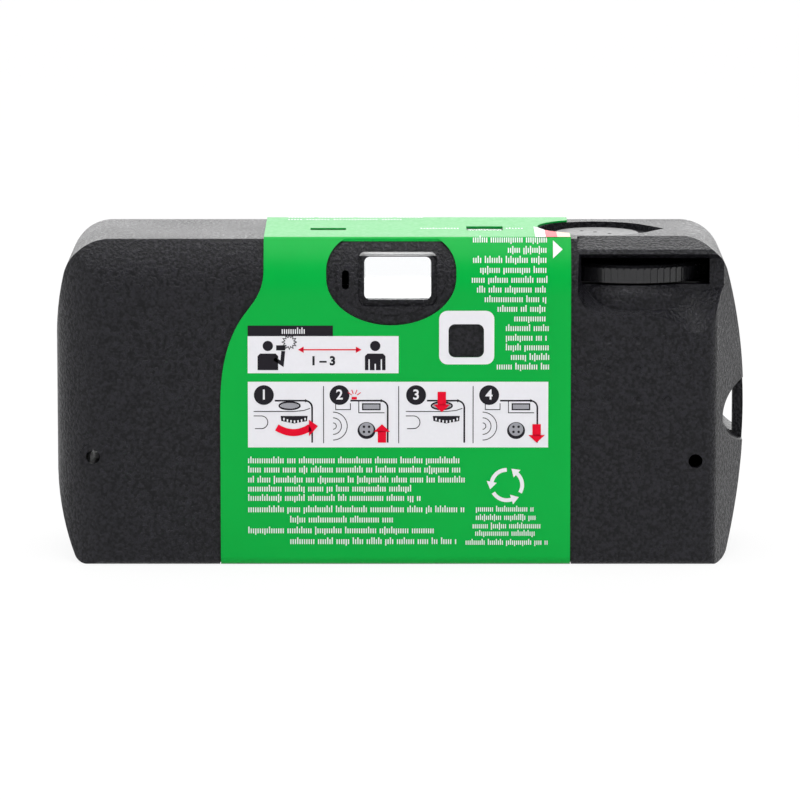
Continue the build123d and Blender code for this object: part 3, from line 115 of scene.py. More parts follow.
# Body shell: black moulded plastic with a fine spark-eroded grain. The grain's peaks are glossier than its
# pits and painted lighter, a painted glint for facets that catch the light, and broad clouds vary the gloss.
noise_low, noise_high = 0.3, 0.7
grain_size = 0.0005
grain_detail = 6.0
grain_depth = 0.00009
grain_low, grain_high = 0.4, 0.64
pit_color, glint_color = (0.003, 0.003, 0.0045), (0.0145, 0.014, 0.0185)
pit_roughness, peak_roughness = 0.44, 0.28
cloud_size = 0.012
cloud_roughness = 0.03
shell = Surface("shell_plastic", (0.009, 0.0085, 0.0115), 0.34, Specular_IOR_Level=0.25)
grain_and_glint = shell.ramp(shell.noise(grain_size, grain_detail), grain_low, grain_high)
clouds = shell.ramp(shell.noise(cloud_size), noise_low, noise_high, -cloud_roughness, cloud_roughness)
# The lighter colour on the grain's peaks is a painted glint that stands in for facets catching the light; the
# same mask sets real gloss and relief.
shell.feed("Base Color", shell.mix(pit_color, glint_color, grain_and_glint))
shell.feed("Roughness", shell.ramp(grain_and_glint, 0.0, 1.0, pit_roughness, peak_roughness) + clouds)
shell.relief(grain_and_glint, grain_depth)
shell.dress("rear_cover", "front_cover", "battery_lid", "film_door", "lens_bezel")


# Wrap: green printed card under a satin varnish, with faint fibres and uneven ink.
varnish_specular = 0.12
varnish_roughness = 0.33
fibre_size = 0.0006
fibre_detail = 4.0
fibre_depth, fibre_strength = 0.000008, 0.6
thick_roughness, thin_roughness = 0.3, 0.38
cover_size = 0.02
deep_green, light_green = (0.0, 0.345, 0.042), (0.001, 0.385, 0.052)
wrap = Surface("wrap_print", (0.0, 0.36, 0.05), varnish_roughness, Specular_IOR_Level=varnish_specular)
fibre = wrap.noise(fibre_size, fibre_detail)
wrap.feed("Base Color", wrap.mix(deep_green, light_green, wrap.noise(cover_size)))
wrap.feed("Roughness", wrap.ramp(fibre, noise_low, noise_high, thick_roughness, thin_roughness))
wrap.relief(fibre, fibre_depth, fibre_strength)
wrap.dress("wrap_label")


# Inner frame, levers, button and wheel, each in its own plastic, and the film, can, board and battery.
# A trace of grain darkens each one and varies its gloss.
spot_size, spot_detail = 0.0009, 3.0
spot_depth, spot_strength = 0.000006, 0.5
spot_dark_share = 0.85
spot_low_share, spot_high_share = 0.85, 1.15


def plain_plastic(name, color, roughness, *names, **sockets):
    """Smooth moulded plastic with a trace of grain and uneven gloss."""
    made = Surface(name, color, roughness, **sockets)
    spots = made.noise(spot_size, spot_detail)
    darker = tuple(spot_dark_share * c for c in color)
    made.feed("Base Color", made.mix(darker, color, spots))
    made.feed("Roughness", made.ramp(spots, noise_low, noise_high, roughness * spot_low_share,
                                     roughness * spot_high_share))
    made.relief(spots, spot_depth, spot_strength)
    made.dress(*names)


plain_plastic("chassis_plastic", (0.012, 0.012, 0.013), 0.35, "main_chassis", "lens_holder")
# The viewfinder tube's near white is painted light, standing in for the bright view seen through the finder.
plain_plastic("tube_plastic", (0.85, 0.85, 0.85), 0.1, "viewfinder_tube")
plain_plastic("wheel_plastic", (0.010, 0.010, 0.012), 0.24, "thumbwheel", Specular_IOR_Level=0.6)
plain_plastic("dark_moving_plastic", (0.012, 0.012, 0.014), 0.28, "shutter_blade", "kick_lever")
plain_plastic("button_plastic", (0.012, 0.012, 0.015), 0.35, "shutter_button")
plain_plastic("white_plastic", (0.72, 0.72, 0.7), 0.3, "release_lever", "sprocket", "counter_dial",
              "charge_lever", "wheel_pawl")
plain_plastic("grey_plastic", (0.09, 0.09, 0.095), 0.4, "cartridge_spool", "supply_core", "board_parts",
              "flash_switch")
plain_plastic("film_plastic", (0.2, 0.12, 0.09), 0.25, "film_strip", "film_roll")
plain_plastic("can_paint", (0.03, 0.2, 0.08), 0.3, "cartridge_shell")
plain_plastic("board_laminate", (0.03, 0.18, 0.07), 0.4, "circuit_board")
plain_plastic("capacitor_sleeve", (0.015, 0.015, 0.03), 0.25, "capacitor")
plain_plastic("transformer_tape", (0.7, 0.5, 0.06), 0.45, "transformer")
plain_plastic("battery_skin", (0.45, 0.3, 0.1), 0.25, "battery")
plain_plastic("lamp_plastic", (0.85, 0.2, 0.02), 0.15, "ready_lamp")


# Springs, contacts and reflector: bare metal with fine streaks.
streak_size, streak_detail = 0.0004, 4.0
streak_depth, streak_strength = 0.000003, 0.5
streak_low_share, streak_high_share = 0.7, 1.3


def bright_metal(name, color, roughness, *names):
    """Drawn or rolled metal with fine streaks in its gloss."""
    made = Surface(name, color, roughness, Metallic=1.0)
    streaks = made.noise(streak_size, streak_detail)
    made.feed("Roughness", made.ramp(streaks, noise_low, noise_high, roughness * streak_low_share,
                                     roughness * streak_high_share))
    made.relief(streaks, streak_depth, streak_strength)
    made.dress(*names)


bright_metal("spring_steel", (0.56, 0.56, 0.58), 0.25, "kick_spring", "blade_spring", "button_spring",
             "battery_contacts")
bright_metal("contact_copper", (0.75, 0.42, 0.22), 0.3, "sync_contacts", "switch_contact", "trigger_coil")
bright_metal("reflector_metal", (0.9, 0.9, 0.91), 0.12, "flash_reflector")


# Lenses, windows and flash tube. The finder's two panes bend light less than real plastic does, so that its
# tube can be seen through.
haze_size, haze_detail = 0.002, 3.0
haze_low_share, haze_high_share = 0.5, 1.5
plastic_ior, finder_ior = 1.49, 1.1


def clear_plastic(name, roughness, *names, ior=plastic_ior):
    """Clear moulded plastic, a little hazy with fine scratches."""
    made = Surface(name, (0.98, 0.985, 0.99), roughness, Transmission_Weight=1.0, IOR=ior)
    haze = made.noise(haze_size, haze_detail)
    made.feed("Roughness", made.ramp(haze, noise_low, noise_high, roughness * haze_low_share,
                                     roughness * haze_high_share))
    made.dress(*names)


clear_plastic("finder_plastic", 0.01, "viewfinder_rear_lens", "viewfinder_front_lens", ior=finder_ior)
clear_plastic("lens_plastic", 0.005, "taking_lens")
clear_plastic("window_plastic", 0.03, "counter_window", "lamp_light_pipe", "flash_window")
clear_plastic("tube_glass", 0.01, "flash_tube")


# Printing: flat ink shapes laid on the wrap's faces. The back of the wrap runs straight up, then leans in
# over the barrel to the top edge. Ink that crosses the barrel is cut into narrow bands to follow it.
back_low_y = -0.017
barrel_low_z = 0.0425
barrel_radius = 0.015494
barrel_middle_y = -0.001506
wrap_top_z = 0.0513
wrap_front_y = 0.0143
barrel_step = 0.0004
barrel_cuts = 22
ink_lift = 0.00002
second_lift, third_lift, fourth_lift = 0.00004, 0.00006, 0.00008
disc_sides = 40
bar_share, low_share, drop_share = 0.17, 0.72, 0.22
fewest_marks, most_marks = 2, 9
tall_chance, drop_chance, pair_chance = 0.25, 0.1, 0.7
gap_bars = 2.2
arc_steps_per_radian = 10
least_arc_steps = 6
least_mitre = 0.5


def on_back(x, z, lift):
    if z <= barrel_low_z:
        return Vector((x, back_low_y - lift, z))
    rise = min(z - barrel_low_z, barrel_radius)
    return Vector((x, barrel_middle_y - math.sqrt(barrel_radius ** 2 - rise ** 2) - lift, z))


def on_top(x, y, lift):
    return Vector((x, y, wrap_top_z + lift))


def on_front(x, z, lift):
    return Vector((-x, wrap_front_y + lift, z))


def shifted(left, points):
    """Outline points moved across to start from left."""
    return [(left + x, z) for x, z in points]


class Print:
    """Flat ink shapes drawn in metres, then laid on one face of the wrap."""

    def __init__(self):
        self.mesh = bmesh.new()

    def poly(self, points):
        verts = [self.mesh.verts.new((x, z, 0)) for x, z in points]
        face = self.mesh.faces.new(verts)
        face.normal_update()
        if face.normal.z < 0:
            face.normal_flip()

    def rect(self, left, right, low, high):
        self.poly([(left, low), (right, low), (right, high), (left, high)])

    def stroke(self, points, width):
        """A line of even width through the points, with mitred corners."""
        path = [Vector(p) for p in points]
        sides = []
        for i, here in enumerate(path):
            before = (here - path[i - 1]).normalized() if i > 0 else (path[1] - here).normalized()
            after = (path[i + 1] - here).normalized() if i < len(path) - 1 else before
            along = (before + after).normalized()
            across = Vector((-along.y, along.x)) * (width / 2 / max(along.dot(before), least_mitre))
            sides.append((here - across, here + across))
        for (a, b), (c, d) in zip(sides, sides[1:]):
            self.poly([a, c, d, b])

    def arc(self, x, z, radius, width, start, end, squash=1.0):
        steps = max(least_arc_steps, int(abs(end - start) * arc_steps_per_radian))
        angles = [start + (end - start) * i / steps for i in range(steps + 1)]
        self.stroke([(x + radius * math.cos(a), z + radius * squash * math.sin(a)) for a in angles], width)

    def disc(self, x, z, radius, squash=1.0):
        angles = [2 * math.pi * i / disc_sides for i in range(disc_sides)]
        self.poly([(x + radius * math.cos(a), z + radius * squash * math.sin(a)) for a in angles])

    def digits(self, text, x, z, height, weight):
        """Plain figures, centred on a point."""
        curve = bpy.data.curves.new("figures", "FONT")
        curve.body = text
        curve.size = height
        curve.offset = weight
        curve.align_x = "CENTER"
        curve.align_y = "CENTER"
        holder = bpy.data.objects.new("figures", curve)
        flat = bpy.data.meshes.new_from_object(holder)
        for face in flat.polygons:
            corners = [flat.vertices[i].co for i in face.vertices]
            self.poly([(x + c.x, z + c.y) for c in corners])
        bpy.data.objects.remove(holder)
        bpy.data.meshes.remove(flat)

    def words(self, left, right, base, height, seed):
        """A line of dummy print: groups of short upright marks, with no letters in it."""
        dice = random.Random(seed)
        bar = height * bar_share
        x = left
        while x < right - bar * 2:
            for _ in range(dice.randint(fewest_marks, most_marks)):
                tall = height if dice.random() < tall_chance else height * low_share
                drop = height * drop_share if dice.random() < drop_chance else 0
                self.rect(x, x + bar, base - drop, base + tall)
                if dice.random() < pair_chance:
                    self.rect(x + bar * 2, x + bar * 3, base, base + height * low_share)
                    x += bar * 2
                x += bar * 2
                if x > right - bar * 2:
                    break
            x += bar * gap_bars

    def finish(self, name, paint, face=on_back, lift=ink_lift):
        """Lay the shapes on a face of the wrap, as a piece that rides on the casing."""
        for i in range(1, barrel_cuts + 1):
            cut = barrel_low_z + i * barrel_step
            if face == on_back and max((v.co.y for v in self.mesh.verts), default=0) > cut:
                whole = self.mesh.verts[:] + self.mesh.edges[:] + self.mesh.faces[:]
                bmesh.ops.bisect_plane(self.mesh, geom=whole, plane_co=(0, cut, 0), plane_no=(0, 1, 0))
        for vert in self.mesh.verts:
            vert.co = face(vert.co.x, vert.co.y, lift)
        data = bpy.data.meshes.new(name)
        self.mesh.to_mesh(data)
        self.mesh.free()
        data.materials.append(paint.material)
        piece = bpy.data.objects.new(name, data)
        bpy.context.scene.collection.objects.link(piece)
        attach(piece, "casing")


uneven_size, uneven_detail = 0.0005, 3.0
uneven_depth, uneven_strength = 0.000006, 0.5
thin_ink_share = 0.94


def ink(name, color):
    """Printing ink with the wrap's varnish over it and slightly uneven cover."""
    made = Surface(name, color, varnish_roughness, Specular_IOR_Level=varnish_specular)
    uneven = made.noise(uneven_size, uneven_detail)
    made.feed("Base Color", made.mix(tuple(thin_ink_share * c for c in color), color, uneven))
    made.relief(uneven, uneven_depth, uneven_strength)
    return made


white_ink = ink("white_ink", (0.76, 0.75, 0.79))
black_ink = ink("black_ink", (0.014, 0.012, 0.017))
red_ink = ink("red_ink", (0.72, 0.0, 0.022))
grey_ink = ink("grey_ink", (0.32, 0.32, 0.35))
sand_ink = ink("sand_ink", (0.72, 0.55, 0.38))

# Distance panel: a pale card with a dark title bar, two figures of people, a burst of flash between them
# and a two-headed arrow. Outline points are across from the figure's middle and above the floor.
panel_left, panel_right = -0.0239, -0.00045
panel_low, panel_high = 0.03031, 0.03614
title_right, title_high = -0.01066, 0.03778
title_text_left, title_text_right, title_text_z = -0.0186, -0.0150, 0.0365
title_text_height, title_seed = 0.0010, 5
holder_x, subject_x = -0.02077, -0.00409
head_z, head_radius = 0.0346, 0.0008
feet_z = 0.0308
person = ((-0.0016, 0.0308), (0.0016, 0.0308), (0.0016, 0.033), (0.0012, 0.0334), (-0.0012, 0.0334),
          (-0.0016, 0.033))
limb_gaps = ((-0.00105, -0.00085, 0.0325), (0.00085, 0.00105, 0.0325), (-0.0001, 0.0001, 0.0318))
arm, arm_width = ((0.001, 0.0326), (0.0022, 0.0318), (0.0024, 0.0338)), 0.0006
held_left, held_right = 0.0013, 0.0027
held_low, held_high = 0.0339, 0.0347
distance_x, distance_z = -0.0122, 0.0322
distance_height, distance_weight = 0.0019, 0.00008
burst_x, burst_z = -0.01742, 0.0352
burst_points = 12
burst_far, burst_near = 0.00115, 0.00072
burst_width = 0.00013
arrow_z = 0.034
arrow_left, arrow_right = -0.01610, -0.00620
arrow_inset, arrow_width = 0.0006, 0.0002
arrow_head_length, arrow_head_half = 0.0009, 0.0005
card = Print()
card.rect(panel_left, panel_right, panel_low, panel_high)
card.finish("distance_card", white_ink)
marks = Print()
marks.rect(panel_left, title_right, panel_high, title_high)
for figure_x in (holder_x, subject_x):
    marks.disc(figure_x, head_z, head_radius)
    marks.poly(shifted(figure_x, person))
    if figure_x == holder_x:
        marks.stroke(shifted(figure_x, arm), arm_width)
        marks.rect(figure_x + held_left, figure_x + held_right, held_low, held_high)
marks.digits("1 – 3", distance_x, distance_z, distance_height, distance_weight)
points = []
for i in range(burst_points * 2):
    reach = burst_far if i % 2 == 0 else burst_near
    angle = i * math.pi / burst_points
    points.append((burst_x + reach * math.cos(angle), burst_z + reach * math.sin(angle)))
marks.stroke(points + points[:1], burst_width)
marks.finish("distance_marks", black_ink, lift=second_lift)
gaps = Print()
for left, right, high in limb_gaps:
    gaps.rect(subject_x + left, subject_x + right, feet_z, high)
gaps.words(title_text_left, title_text_right, title_text_z, title_text_height, title_seed)
gaps.finish("distance_gaps", white_ink, lift=third_lift)
arrow = Print()
arrow.stroke([(arrow_left + arrow_inset, arrow_z), (arrow_right - arrow_inset, arrow_z)], arrow_width)
for tip, side in ((arrow_left, 1), (arrow_right, -1)):
    neck = tip + side * arrow_head_length
    arrow.poly([(tip, arrow_z), (neck, arrow_z - arrow_head_half), (neck, arrow_z + arrow_head_half)])
arrow.finish("distance_arrow", red_ink, lift=second_lift)

# Four steps: numbered discs over simple outlines of a camera's corner, with a red arrow in each. Steps 1
# and 3 show the button and wheel from behind, steps 2 and 4 the lens, flash and switch from the front.
# Outline points are across from the drawing's left end and above the floor.
steps_left, steps_right = -0.0239, 0.02281
steps_low, steps_high = 0.01864, 0.02897
dividers = (-0.01213, -0.00045, 0.01113)
divider_low, divider_high = 0.0193, 0.0283
disc_places = (-0.02141, -0.00965, 0.00226, 0.01362)
disc_z, disc_radius = 0.02688, 0.00155
step_height, step_weight = 0.0022, 0.00004
fine, bold = 0.00013, 0.00026
drawing_back = 0.0016
corner_start, corner_x, corner_end = 0.0017, 0.0080, 0.0091
corner_high, corner_middle_z, corner_low = 0.026, 0.0249, 0.0194
corner_radius, corner_turn = 0.0011, 0.26
corner_points = 7
dial_x, dial_z = 0.0056, 0.0252
ring_radius, ring_squash = 0.0016, 0.36
cap_radius, cap_squash = 0.0014, 0.3
edge_line = ((0, 0.0243), (0.0062, 0.0243), (0.0078, 0.02445), (0.0088, 0.0248))
window_line = ((0, 0.0236), (0.0012, 0.0236))
window_foot = ((0.0002, 0.0216), (0.0012, 0.0216))
window_x, window_z, window_radius = 0.0012, 0.0226, 0.0010
wheel_line = ((0.0042, 0.0236), (0.0084, 0.0236), (0.0083, 0.0228), (0.0063, 0.0224), (0.0043, 0.0228))
teeth, middle_tooth = 7, 3
first_tooth_x, tooth_pitch, tooth_width = 0.0046, 0.00055, 0.00022
tooth_low, tooth_high, tooth_dip = 0.0229, 0.0233, 0.0004
lens_x, lens_z = 0.0006, 0.022
lens_radii = (0.0005, 0.0013, 0.0022)
finder_line = ((0.0010, 0.0256), (0.0010, 0.0246), (0.0033, 0.0246), (0.0033, 0.0256))
flash_line = ((0.0046, 0.0259), (0.0046, 0.0241), (0.0086, 0.0241))
flash_box = (0.0051, 0.0080, 0.0245, 0.0256)
flash_pane = (0.0053, 0.0078, 0.0247, 0.0254)
switch_x, switch_low_z, switch_z = 0.0058, 0.0213, 0.0215
switch_radius, switch_face_radius, switch_squash = 0.0014, 0.0011, 0.95
dot_reach, dot_radius = 0.0004, 0.0002
sweep_left, sweep_width, sweep_z, sweep_sag, sweep_share = 0.0036, 0.0052, 0.0218, 0.0030, 1.1
sweep_steps, sweep_thickness = 10, 0.0011
sweep_head = ((0.0086, 0.023), (0.0086, 0.0204), (0.0100, 0.022))
arrow_places = {2: (0.0082, 0.0223, 0.0194), 3: (0.0056, 0.0242, 0.0274), 4: (0.0090, 0.0194, 0.0223)}
shaft_half, shaft_end = 0.00065, 0.0011
head_half, head_length = 0.0013, 0.0012
lamp_box = (0.0035, 0.0043, 0.0262, 0.0266)
ray_x, ray_z, ray_start, ray_length = 0.0039, 0.0266, 0.0005, 0.0007
ray_angles = (0.6, 1.2, 1.9, 2.5)
card = Print()
card.rect(steps_left, steps_right, steps_low, steps_high)
card.finish("steps_card", white_ink)
lines = Print()
for x in dividers:
    lines.rect(x - fine / 2, x + fine / 2, divider_low, divider_high)
shade = Print()
shapes = Print()
dots = Print()
white_marks = Print()
for number, disc_x in enumerate(disc_places, 1):
    left = disc_x - drawing_back
    lines.disc(disc_x, disc_z, disc_radius)
    white_marks.digits(str(number), disc_x, disc_z, step_height, step_weight)
    corner = [(disc_x + corner_start, corner_high), (left + corner_x, corner_high)]
    for i in range(corner_points):
        angle = i * corner_turn
        corner.append((left + corner_x + corner_radius * math.sin(angle),
                       corner_middle_z + corner_radius * math.cos(angle)))
    corner.append((left + corner_end, corner_low))
    lines.stroke(corner, bold)
    if number % 2 == 1:
        lines.arc(left + dial_x, dial_z, ring_radius, bold, 0, 2 * math.pi, ring_squash)
        shade.disc(left + dial_x, dial_z, cap_radius, cap_squash)
        lines.stroke(shifted(left, edge_line), fine)
        lines.stroke(shifted(left, window_line), fine)
        lines.arc(left + window_x, window_z, window_radius, fine, math.pi / 2, -math.pi / 2)
        lines.stroke(shifted(left, window_foot), fine)
        lines.poly(shifted(left, wheel_line))
        for tooth in range(teeth):
            tooth_x = left + first_tooth_x + tooth * tooth_pitch
            dip = tooth_dip * (1 - ((tooth - middle_tooth) / middle_tooth) ** 2)
            white_marks.rect(tooth_x, tooth_x + tooth_width, tooth_low - dip, tooth_high - dip)
    else:
        for radius in lens_radii:
            lines.arc(left + lens_x, lens_z, radius, fine, -math.pi / 2, math.pi / 2)
        lines.stroke(shifted(left, finder_line), fine)
        lines.stroke(shifted(left, flash_line), fine)
        for layer, (box_left, box_right, low, high) in ((lines, flash_box), (shade, flash_pane)):
            layer.rect(left + box_left, left + box_right, low, high)
        lines.disc(left + switch_x, switch_low_z, switch_radius, switch_squash)
        shade.disc(left + switch_x, switch_z, switch_face_radius, switch_squash)
        for side, rise in ((-1, -1), (-1, 1), (1, -1), (1, 1)):
            dots.disc(left + switch_x + side * dot_reach, switch_z + rise * dot_reach, dot_radius)
    if number == 1:
        sweep = []
        for i in range(sweep_steps + 1):
            share = i / sweep_steps
            sag = sweep_sag * share * (1 - share) * sweep_share
            sweep.append((left + sweep_left + sweep_width * share, sweep_z - sag))
        shapes.stroke(sweep, sweep_thickness)
        shapes.poly(shifted(left, sweep_head))
    else:
        across, tip, tail = arrow_places[number]
        x = left + across
        up = 1 if tip > tail else -1
        shaft_tip = tip - up * shaft_end
        neck = tip - up * head_length
        shapes.rect(x - shaft_half, x + shaft_half, min(tail, shaft_tip), max(tail, shaft_tip))
        shapes.poly([(x - head_half, neck), (x + head_half, neck), (x, tip)])
    if number == 2:
        box_left, box_right, low, high = lamp_box
        shapes.rect(left + box_left, left + box_right, low, high)
        for angle in ray_angles:
            way = Vector((math.cos(angle), math.sin(angle)))
            start = Vector((left + ray_x, ray_z)) + way * ray_start
            shapes.stroke([start, start + way * ray_length], fine)
lines.finish("step_lines", black_ink, lift=second_lift)
shade.finish("step_shading", grey_ink, lift=third_lift)
white_marks.finish("step_figures", white_ink, lift=third_lift)
dots.finish("step_dots", black_ink, lift=fourth_lift)
shapes.finish("step_arrows", red_ink, lift=fourth_lift)

# Dummy lines of print in white: a ragged column at the right, a block low on the left and a short one
# beside it. Each line has its own seed, so that its marks stay the same when another line changes.
column_pitch = 0.001508
column_right, column_low = 0.02281, 0.0309
column_lefts = (0.0148, 0.0170, 0.0162, 0.0162, 0.0162, 0.0175, 0.0149, 0.0129, 0.0117, 0.0109, 0.0122,
                0.0111)
column_top_lefts = (0.0165, 0.0111)
column_height, column_top_height, column_seed = 0.00105, 0.00100, 20
block_left, indent = -0.0239, -0.01736
indented_rows = (0, 2)
block_rights = (0.0088, 0.00568, -0.00101, 0.00973, 0.00335, 0.00241, 0.00989, 0.00895, 0.00957)
block_bases = (0.00336, 0.00507, 0.00678, 0.0084, 0.0102, 0.01167, 0.0131, 0.01468, 0.01614)
block_height, block_seed = 0.00105, 60
small_lines = ((0.0100, 0.02265, 0.00325), (0.0115, 0.0212, 0.00467), (0.0111, 0.0216, 0.00584),
               (0.0116, 0.0209, 0.00718), (0.0116, 0.0209, 0.0085))
small_height, small_seed = 0.00092, 80
text = Print()
for row, left in enumerate(column_lefts):
    text.words(left, column_right, column_low + row * column_pitch, column_height, column_seed + row)
for row, left in enumerate(column_top_lefts, len(column_lefts)):
    text.words(left, column_right, column_low + row * column_pitch, column_top_height, column_seed + row)
for row, (right, base) in enumerate(zip(block_rights, block_bases)):
    text.words(indent if row in indented_rows else block_left, right, base, block_height, block_seed + row)
for row, (left, right, base) in enumerate(small_lines):
    text.words(left, right, base, small_height, small_seed + row)
text.finish("dummy_print", white_ink)

# White frame round the square hole, and a pointer by the column's top lines.
hole_left, hole_right = 0.0073, 0.0128
hole_low, hole_high = 0.0328, 0.0380
hole_corner = 0.001
frame_left, frame_right = 0.00584, 0.0144
frame_low, frame_high = 0.0317, 0.0401
frame_corner = 0.0013
corner_steps = 6
pointer_x, pointer_z = 0.0235, 0.0495
pointer_length, pointer_half = 0.0015, 0.00133


def rounded(left, right, low, high, radius):
    """Corner points of a rectangle with round corners, anticlockwise."""
    found = []
    for cx, cz, start in ((right - radius, high - radius, 0), (left + radius, high - radius, 1),
                          (left + radius, low + radius, 2), (right - radius, low + radius, 3)):
        for i in range(corner_steps + 1):
            angle = (start + i / corner_steps) * math.pi / 2
            found.append((cx + radius * math.cos(angle), cz + radius * math.sin(angle)))
    return found


white_frame = Print()
outer = rounded(frame_left, frame_right, frame_low, frame_high, frame_corner)
inner = rounded(hole_left, hole_right, hole_low, hole_high, hole_corner)
for i in range(len(outer)):
    j = (i + 1) % len(outer)
    white_frame.poly([outer[i], outer[j], inner[j], inner[i]])
white_frame.poly([(pointer_x, pointer_z - pointer_half), (pointer_x + pointer_length, pointer_z),
                  (pointer_x, pointer_z + pointer_half)])
white_frame.finish("white_frame", white_ink)

# Plain loop of three arrows low on the right, printed in white like the lines round it.
loop_x, loop_z, loop_radius = 0.0164, 0.0127, 0.0024
loop_width = 0.0006
loop_arrows = 3
loop_start, loop_turn, loop_reach = 90, 120, 78
loop_head_half, loop_head_length = 0.0008, 0.0012
loop = Print()
for turn in range(loop_arrows):
    start = math.radians(loop_start + loop_turn * turn)
    end = start + math.radians(loop_reach)
    loop.arc(loop_x, loop_z, loop_radius, loop_width, start, end)
    across = Vector((math.cos(end), math.sin(end)))
    along = Vector((-across.y, across.x))
    tip = Vector((loop_x, loop_z)) + across * loop_radius
    loop.poly([tip - across * loop_head_half, tip + across * loop_head_half, tip + along * loop_head_length])
loop.finish("arrow_loop", white_ink)

# Top of the wrap: three stripes at the right end, cut off by the button's well, and dummy print in two lines
# beyond the lamp's slot and in one line on either side of the counter's window.
stripes = (("white_stripe", white_ink, 0.0208, 0.0224), ("red_stripe", red_ink, 0.0224, 0.0242),
           ("sand_stripe", sand_ink, 0.0242, 0.0262))
well_x, well_y, well_radius = 0.0307, -0.0010, 0.0093
well_clearance = 0.0001
stripe_back_y = -0.01425
top_lines = ((-0.018, 0.004, 0.010), (-0.018, 0.000, 0.0075), (0.003, 0.0096, -0.004),
             (0.0164, 0.0195, -0.004))
top_height, top_seed = 0.0014, 90
for name, paint, left, right in stripes:
    stripe = Print()
    reach = []
    for x in (left, (left + right) / 2, right):
        half_chord = math.sqrt(max(well_radius ** 2 - (x - well_x) ** 2, 0))
        reach.append((x, well_y - half_chord - well_clearance))
    stripe.poly([(left, stripe_back_y), (right, stripe_back_y)] + reach[::-1])
    stripe.finish(name, paint, on_top)
top_text = Print()
for row, (left, right, y) in enumerate(top_lines):
    top_text.words(left, right, y, top_height, top_seed + row)
top_text.finish("top_print", white_ink, on_top)

# Front of the wrap, which the photograph doesn't show: the same three stripes run down it, with four short
# lines of dummy print beside them and two plain bars at the other end.
front_low_z, front_high_z = 0.0018, 0.0495
front_text_left, front_text_right, front_indent = -0.0195, -0.0135, 0.0008
front_text_z, front_pitch, front_rows = 0.0075, 0.0015, 4
front_height, front_seed = 0.0010, 120
bar_left, bar_right = 0.0135, 0.0205
bars = ((0.0062, 0.0066), (0.0042, 0.0046))
for number, (name, paint, left, right) in enumerate(stripes, 1):
    band = Print()
    band.rect(-right, -left, front_low_z, front_high_z)
    band.finish("front_stripe_%d" % number, paint, on_front)
front_text = Print()
for row in range(front_rows):
    right = front_text_right + front_indent * (row % 2)
    front_text.words(front_text_left, right, front_text_z - row * front_pitch, front_height, front_seed + row)
for low, high in bars:
    front_text.rect(bar_left, bar_right, low, high)
front_text.finish("front_print", white_ink, on_front)


# Floor and surroundings. The floor glows white where it is seen, straight, through a clear piece or in a
# reflection, and shows a little of its own shaded paint. The surroundings are white to the camera and
# through clear pieces. For all other light they are dim on the photographer's side and bright beyond.
floor_size = 3.0
glow_share = 0.88
fade_low_y, fade_high_y = -0.5, 0.6
dim, full = 0.04, 1.0
floor_mesh = bpy.data.meshes.new("floor")
half = floor_size / 2
corners = [(-half, -half, 0), (half, -half, 0), (half, half, 0), (-half, half, 0)]
floor_mesh.from_pydata(corners, [], [(0, 1, 2, 3)])
floor = bpy.data.objects.new("floor", floor_mesh)
bpy.context.scene.collection.objects.link(floor)
floor_paint = Surface("floor_white", (0.82, 0.82, 0.82), 0.7)
tree = floor_paint.tree
rays = tree.nodes.new("ShaderNodeLightPath")
glow = tree.nodes.new("ShaderNodeEmission")
glow.inputs["Color"].default_value = (1, 1, 1, 1)
seen = tree.nodes.new("ShaderNodeMixShader")
direct = floor_paint.math("MAXIMUM", Value(floor_paint, rays.outputs["Is Camera Ray"]),
                          Value(floor_paint, rays.outputs["Is Transmission Ray"]))
direct = floor_paint.math("MAXIMUM", direct, Value(floor_paint, rays.outputs["Is Glossy Ray"])) * glow_share
tree.links.new(direct.socket, seen.inputs[0])
tree.links.new(floor_paint.shader.outputs[0], seen.inputs[1])
tree.links.new(glow.outputs[0], seen.inputs[2])
tree.links.new(seen.outputs[0], tree.nodes["Material Output"].inputs["Surface"])
floor_mesh.materials.append(floor_paint.material)

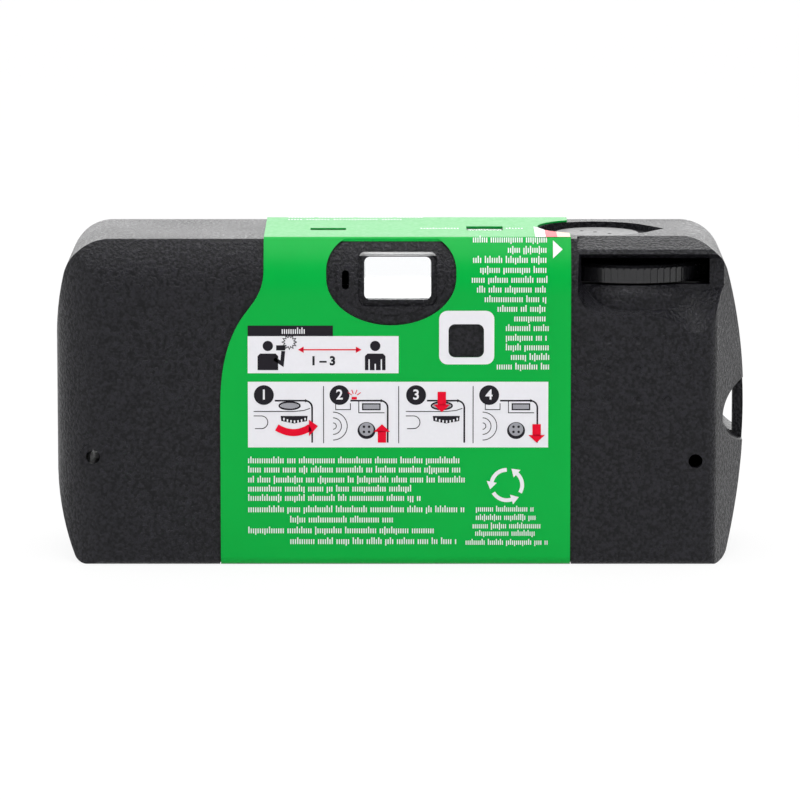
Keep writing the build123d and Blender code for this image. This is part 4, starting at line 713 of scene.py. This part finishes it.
world = bpy.data.worlds.new("studio")
bpy.context.scene.world = world
world.use_nodes = True
sky = world.node_tree
sky.nodes.clear()
direction = sky.nodes.new("ShaderNodeTexCoord")
parts = sky.nodes.new("ShaderNodeSeparateXYZ")
sky.links.new(direction.outputs["Generated"], parts.inputs[0])
fade = sky.nodes.new("ShaderNodeMapRange")
fade.inputs["From Min"].default_value = fade_low_y
fade.inputs["From Max"].default_value = fade_high_y
fade.inputs["To Min"].default_value = dim
fade.inputs["To Max"].default_value = full
sky.links.new(parts.outputs["Y"], fade.inputs["Value"])
around = sky.nodes.new("ShaderNodeBackground")
sky.links.new(fade.outputs[0], around.inputs["Strength"])
plain = sky.nodes.new("ShaderNodeBackground")
plain.inputs["Color"].default_value = (1, 1, 1, 1)
ray = sky.nodes.new("ShaderNodeLightPath")
either = sky.nodes.new("ShaderNodeMath")
either.operation = "MAXIMUM"
sky.links.new(ray.outputs["Is Camera Ray"], either.inputs[0])
sky.links.new(ray.outputs["Is Transmission Ray"], either.inputs[1])
choose = sky.nodes.new("ShaderNodeMixShader")
sky.links.new(either.outputs[0], choose.inputs[0])
sky.links.new(around.outputs[0], choose.inputs[1])
sky.links.new(plain.outputs[0], choose.inputs[2])
out = sky.nodes.new("ShaderNodeOutputWorld")
sky.links.new(choose.outputs[0], out.inputs[0])


# Lamps: a soft box on either side, one overhead, one above the line of sight on the photographer's side, and
# one far beyond the body. The camera sees none of them.
lamps_aim = (0, 0, 0.025)


def soft_box(name, place, size, power):
    """Square soft light, turned towards the camera body."""
    lamp = bpy.data.lights.new(name, "AREA")
    lamp.size = size
    lamp.energy = power
    holder = bpy.data.objects.new(name, lamp)
    holder.location = place
    holder.visible_camera = False
    holder.rotation_euler = (Vector(lamps_aim) - Vector(place)).to_track_quat("-Z", "Y").to_euler()
    bpy.context.scene.collection.objects.link(holder)


soft_box("left_box", (-0.95, -0.55, 0.45), 0.5, 3.4)
soft_box("right_box", (0.95, -0.55, 0.45), 0.5, 3.4)
soft_box("overhead", (0, -0.15, 1.0), 0.8, 8.0)
soft_box("front_top", (0, -0.62, 0.72), 0.4, 2.4)
soft_box("backdrop", (0, 1.5, 0.6), 1.6, 12.0)

# Camera: a long lens behind the body, a little above it, as in the photograph.
aim = Vector((-0.00024, 0, 0.0235))
distance = 0.935
elevation = math.radians(8.7)
lens_length = 265.6
back = Vector((0, -math.cos(elevation), math.sin(elevation)))
view = bpy.data.cameras.new("camera")
view.lens = lens_length
camera = bpy.data.objects.new("camera", view)
camera.location = aim + back * distance
camera.rotation_euler = (-back).to_track_quat("-Z", "Y").to_euler()
bpy.context.scene.collection.objects.link(camera)
bpy.context.scene.camera = camera
bpy.context.scene.view_settings.view_transform = "Standard"
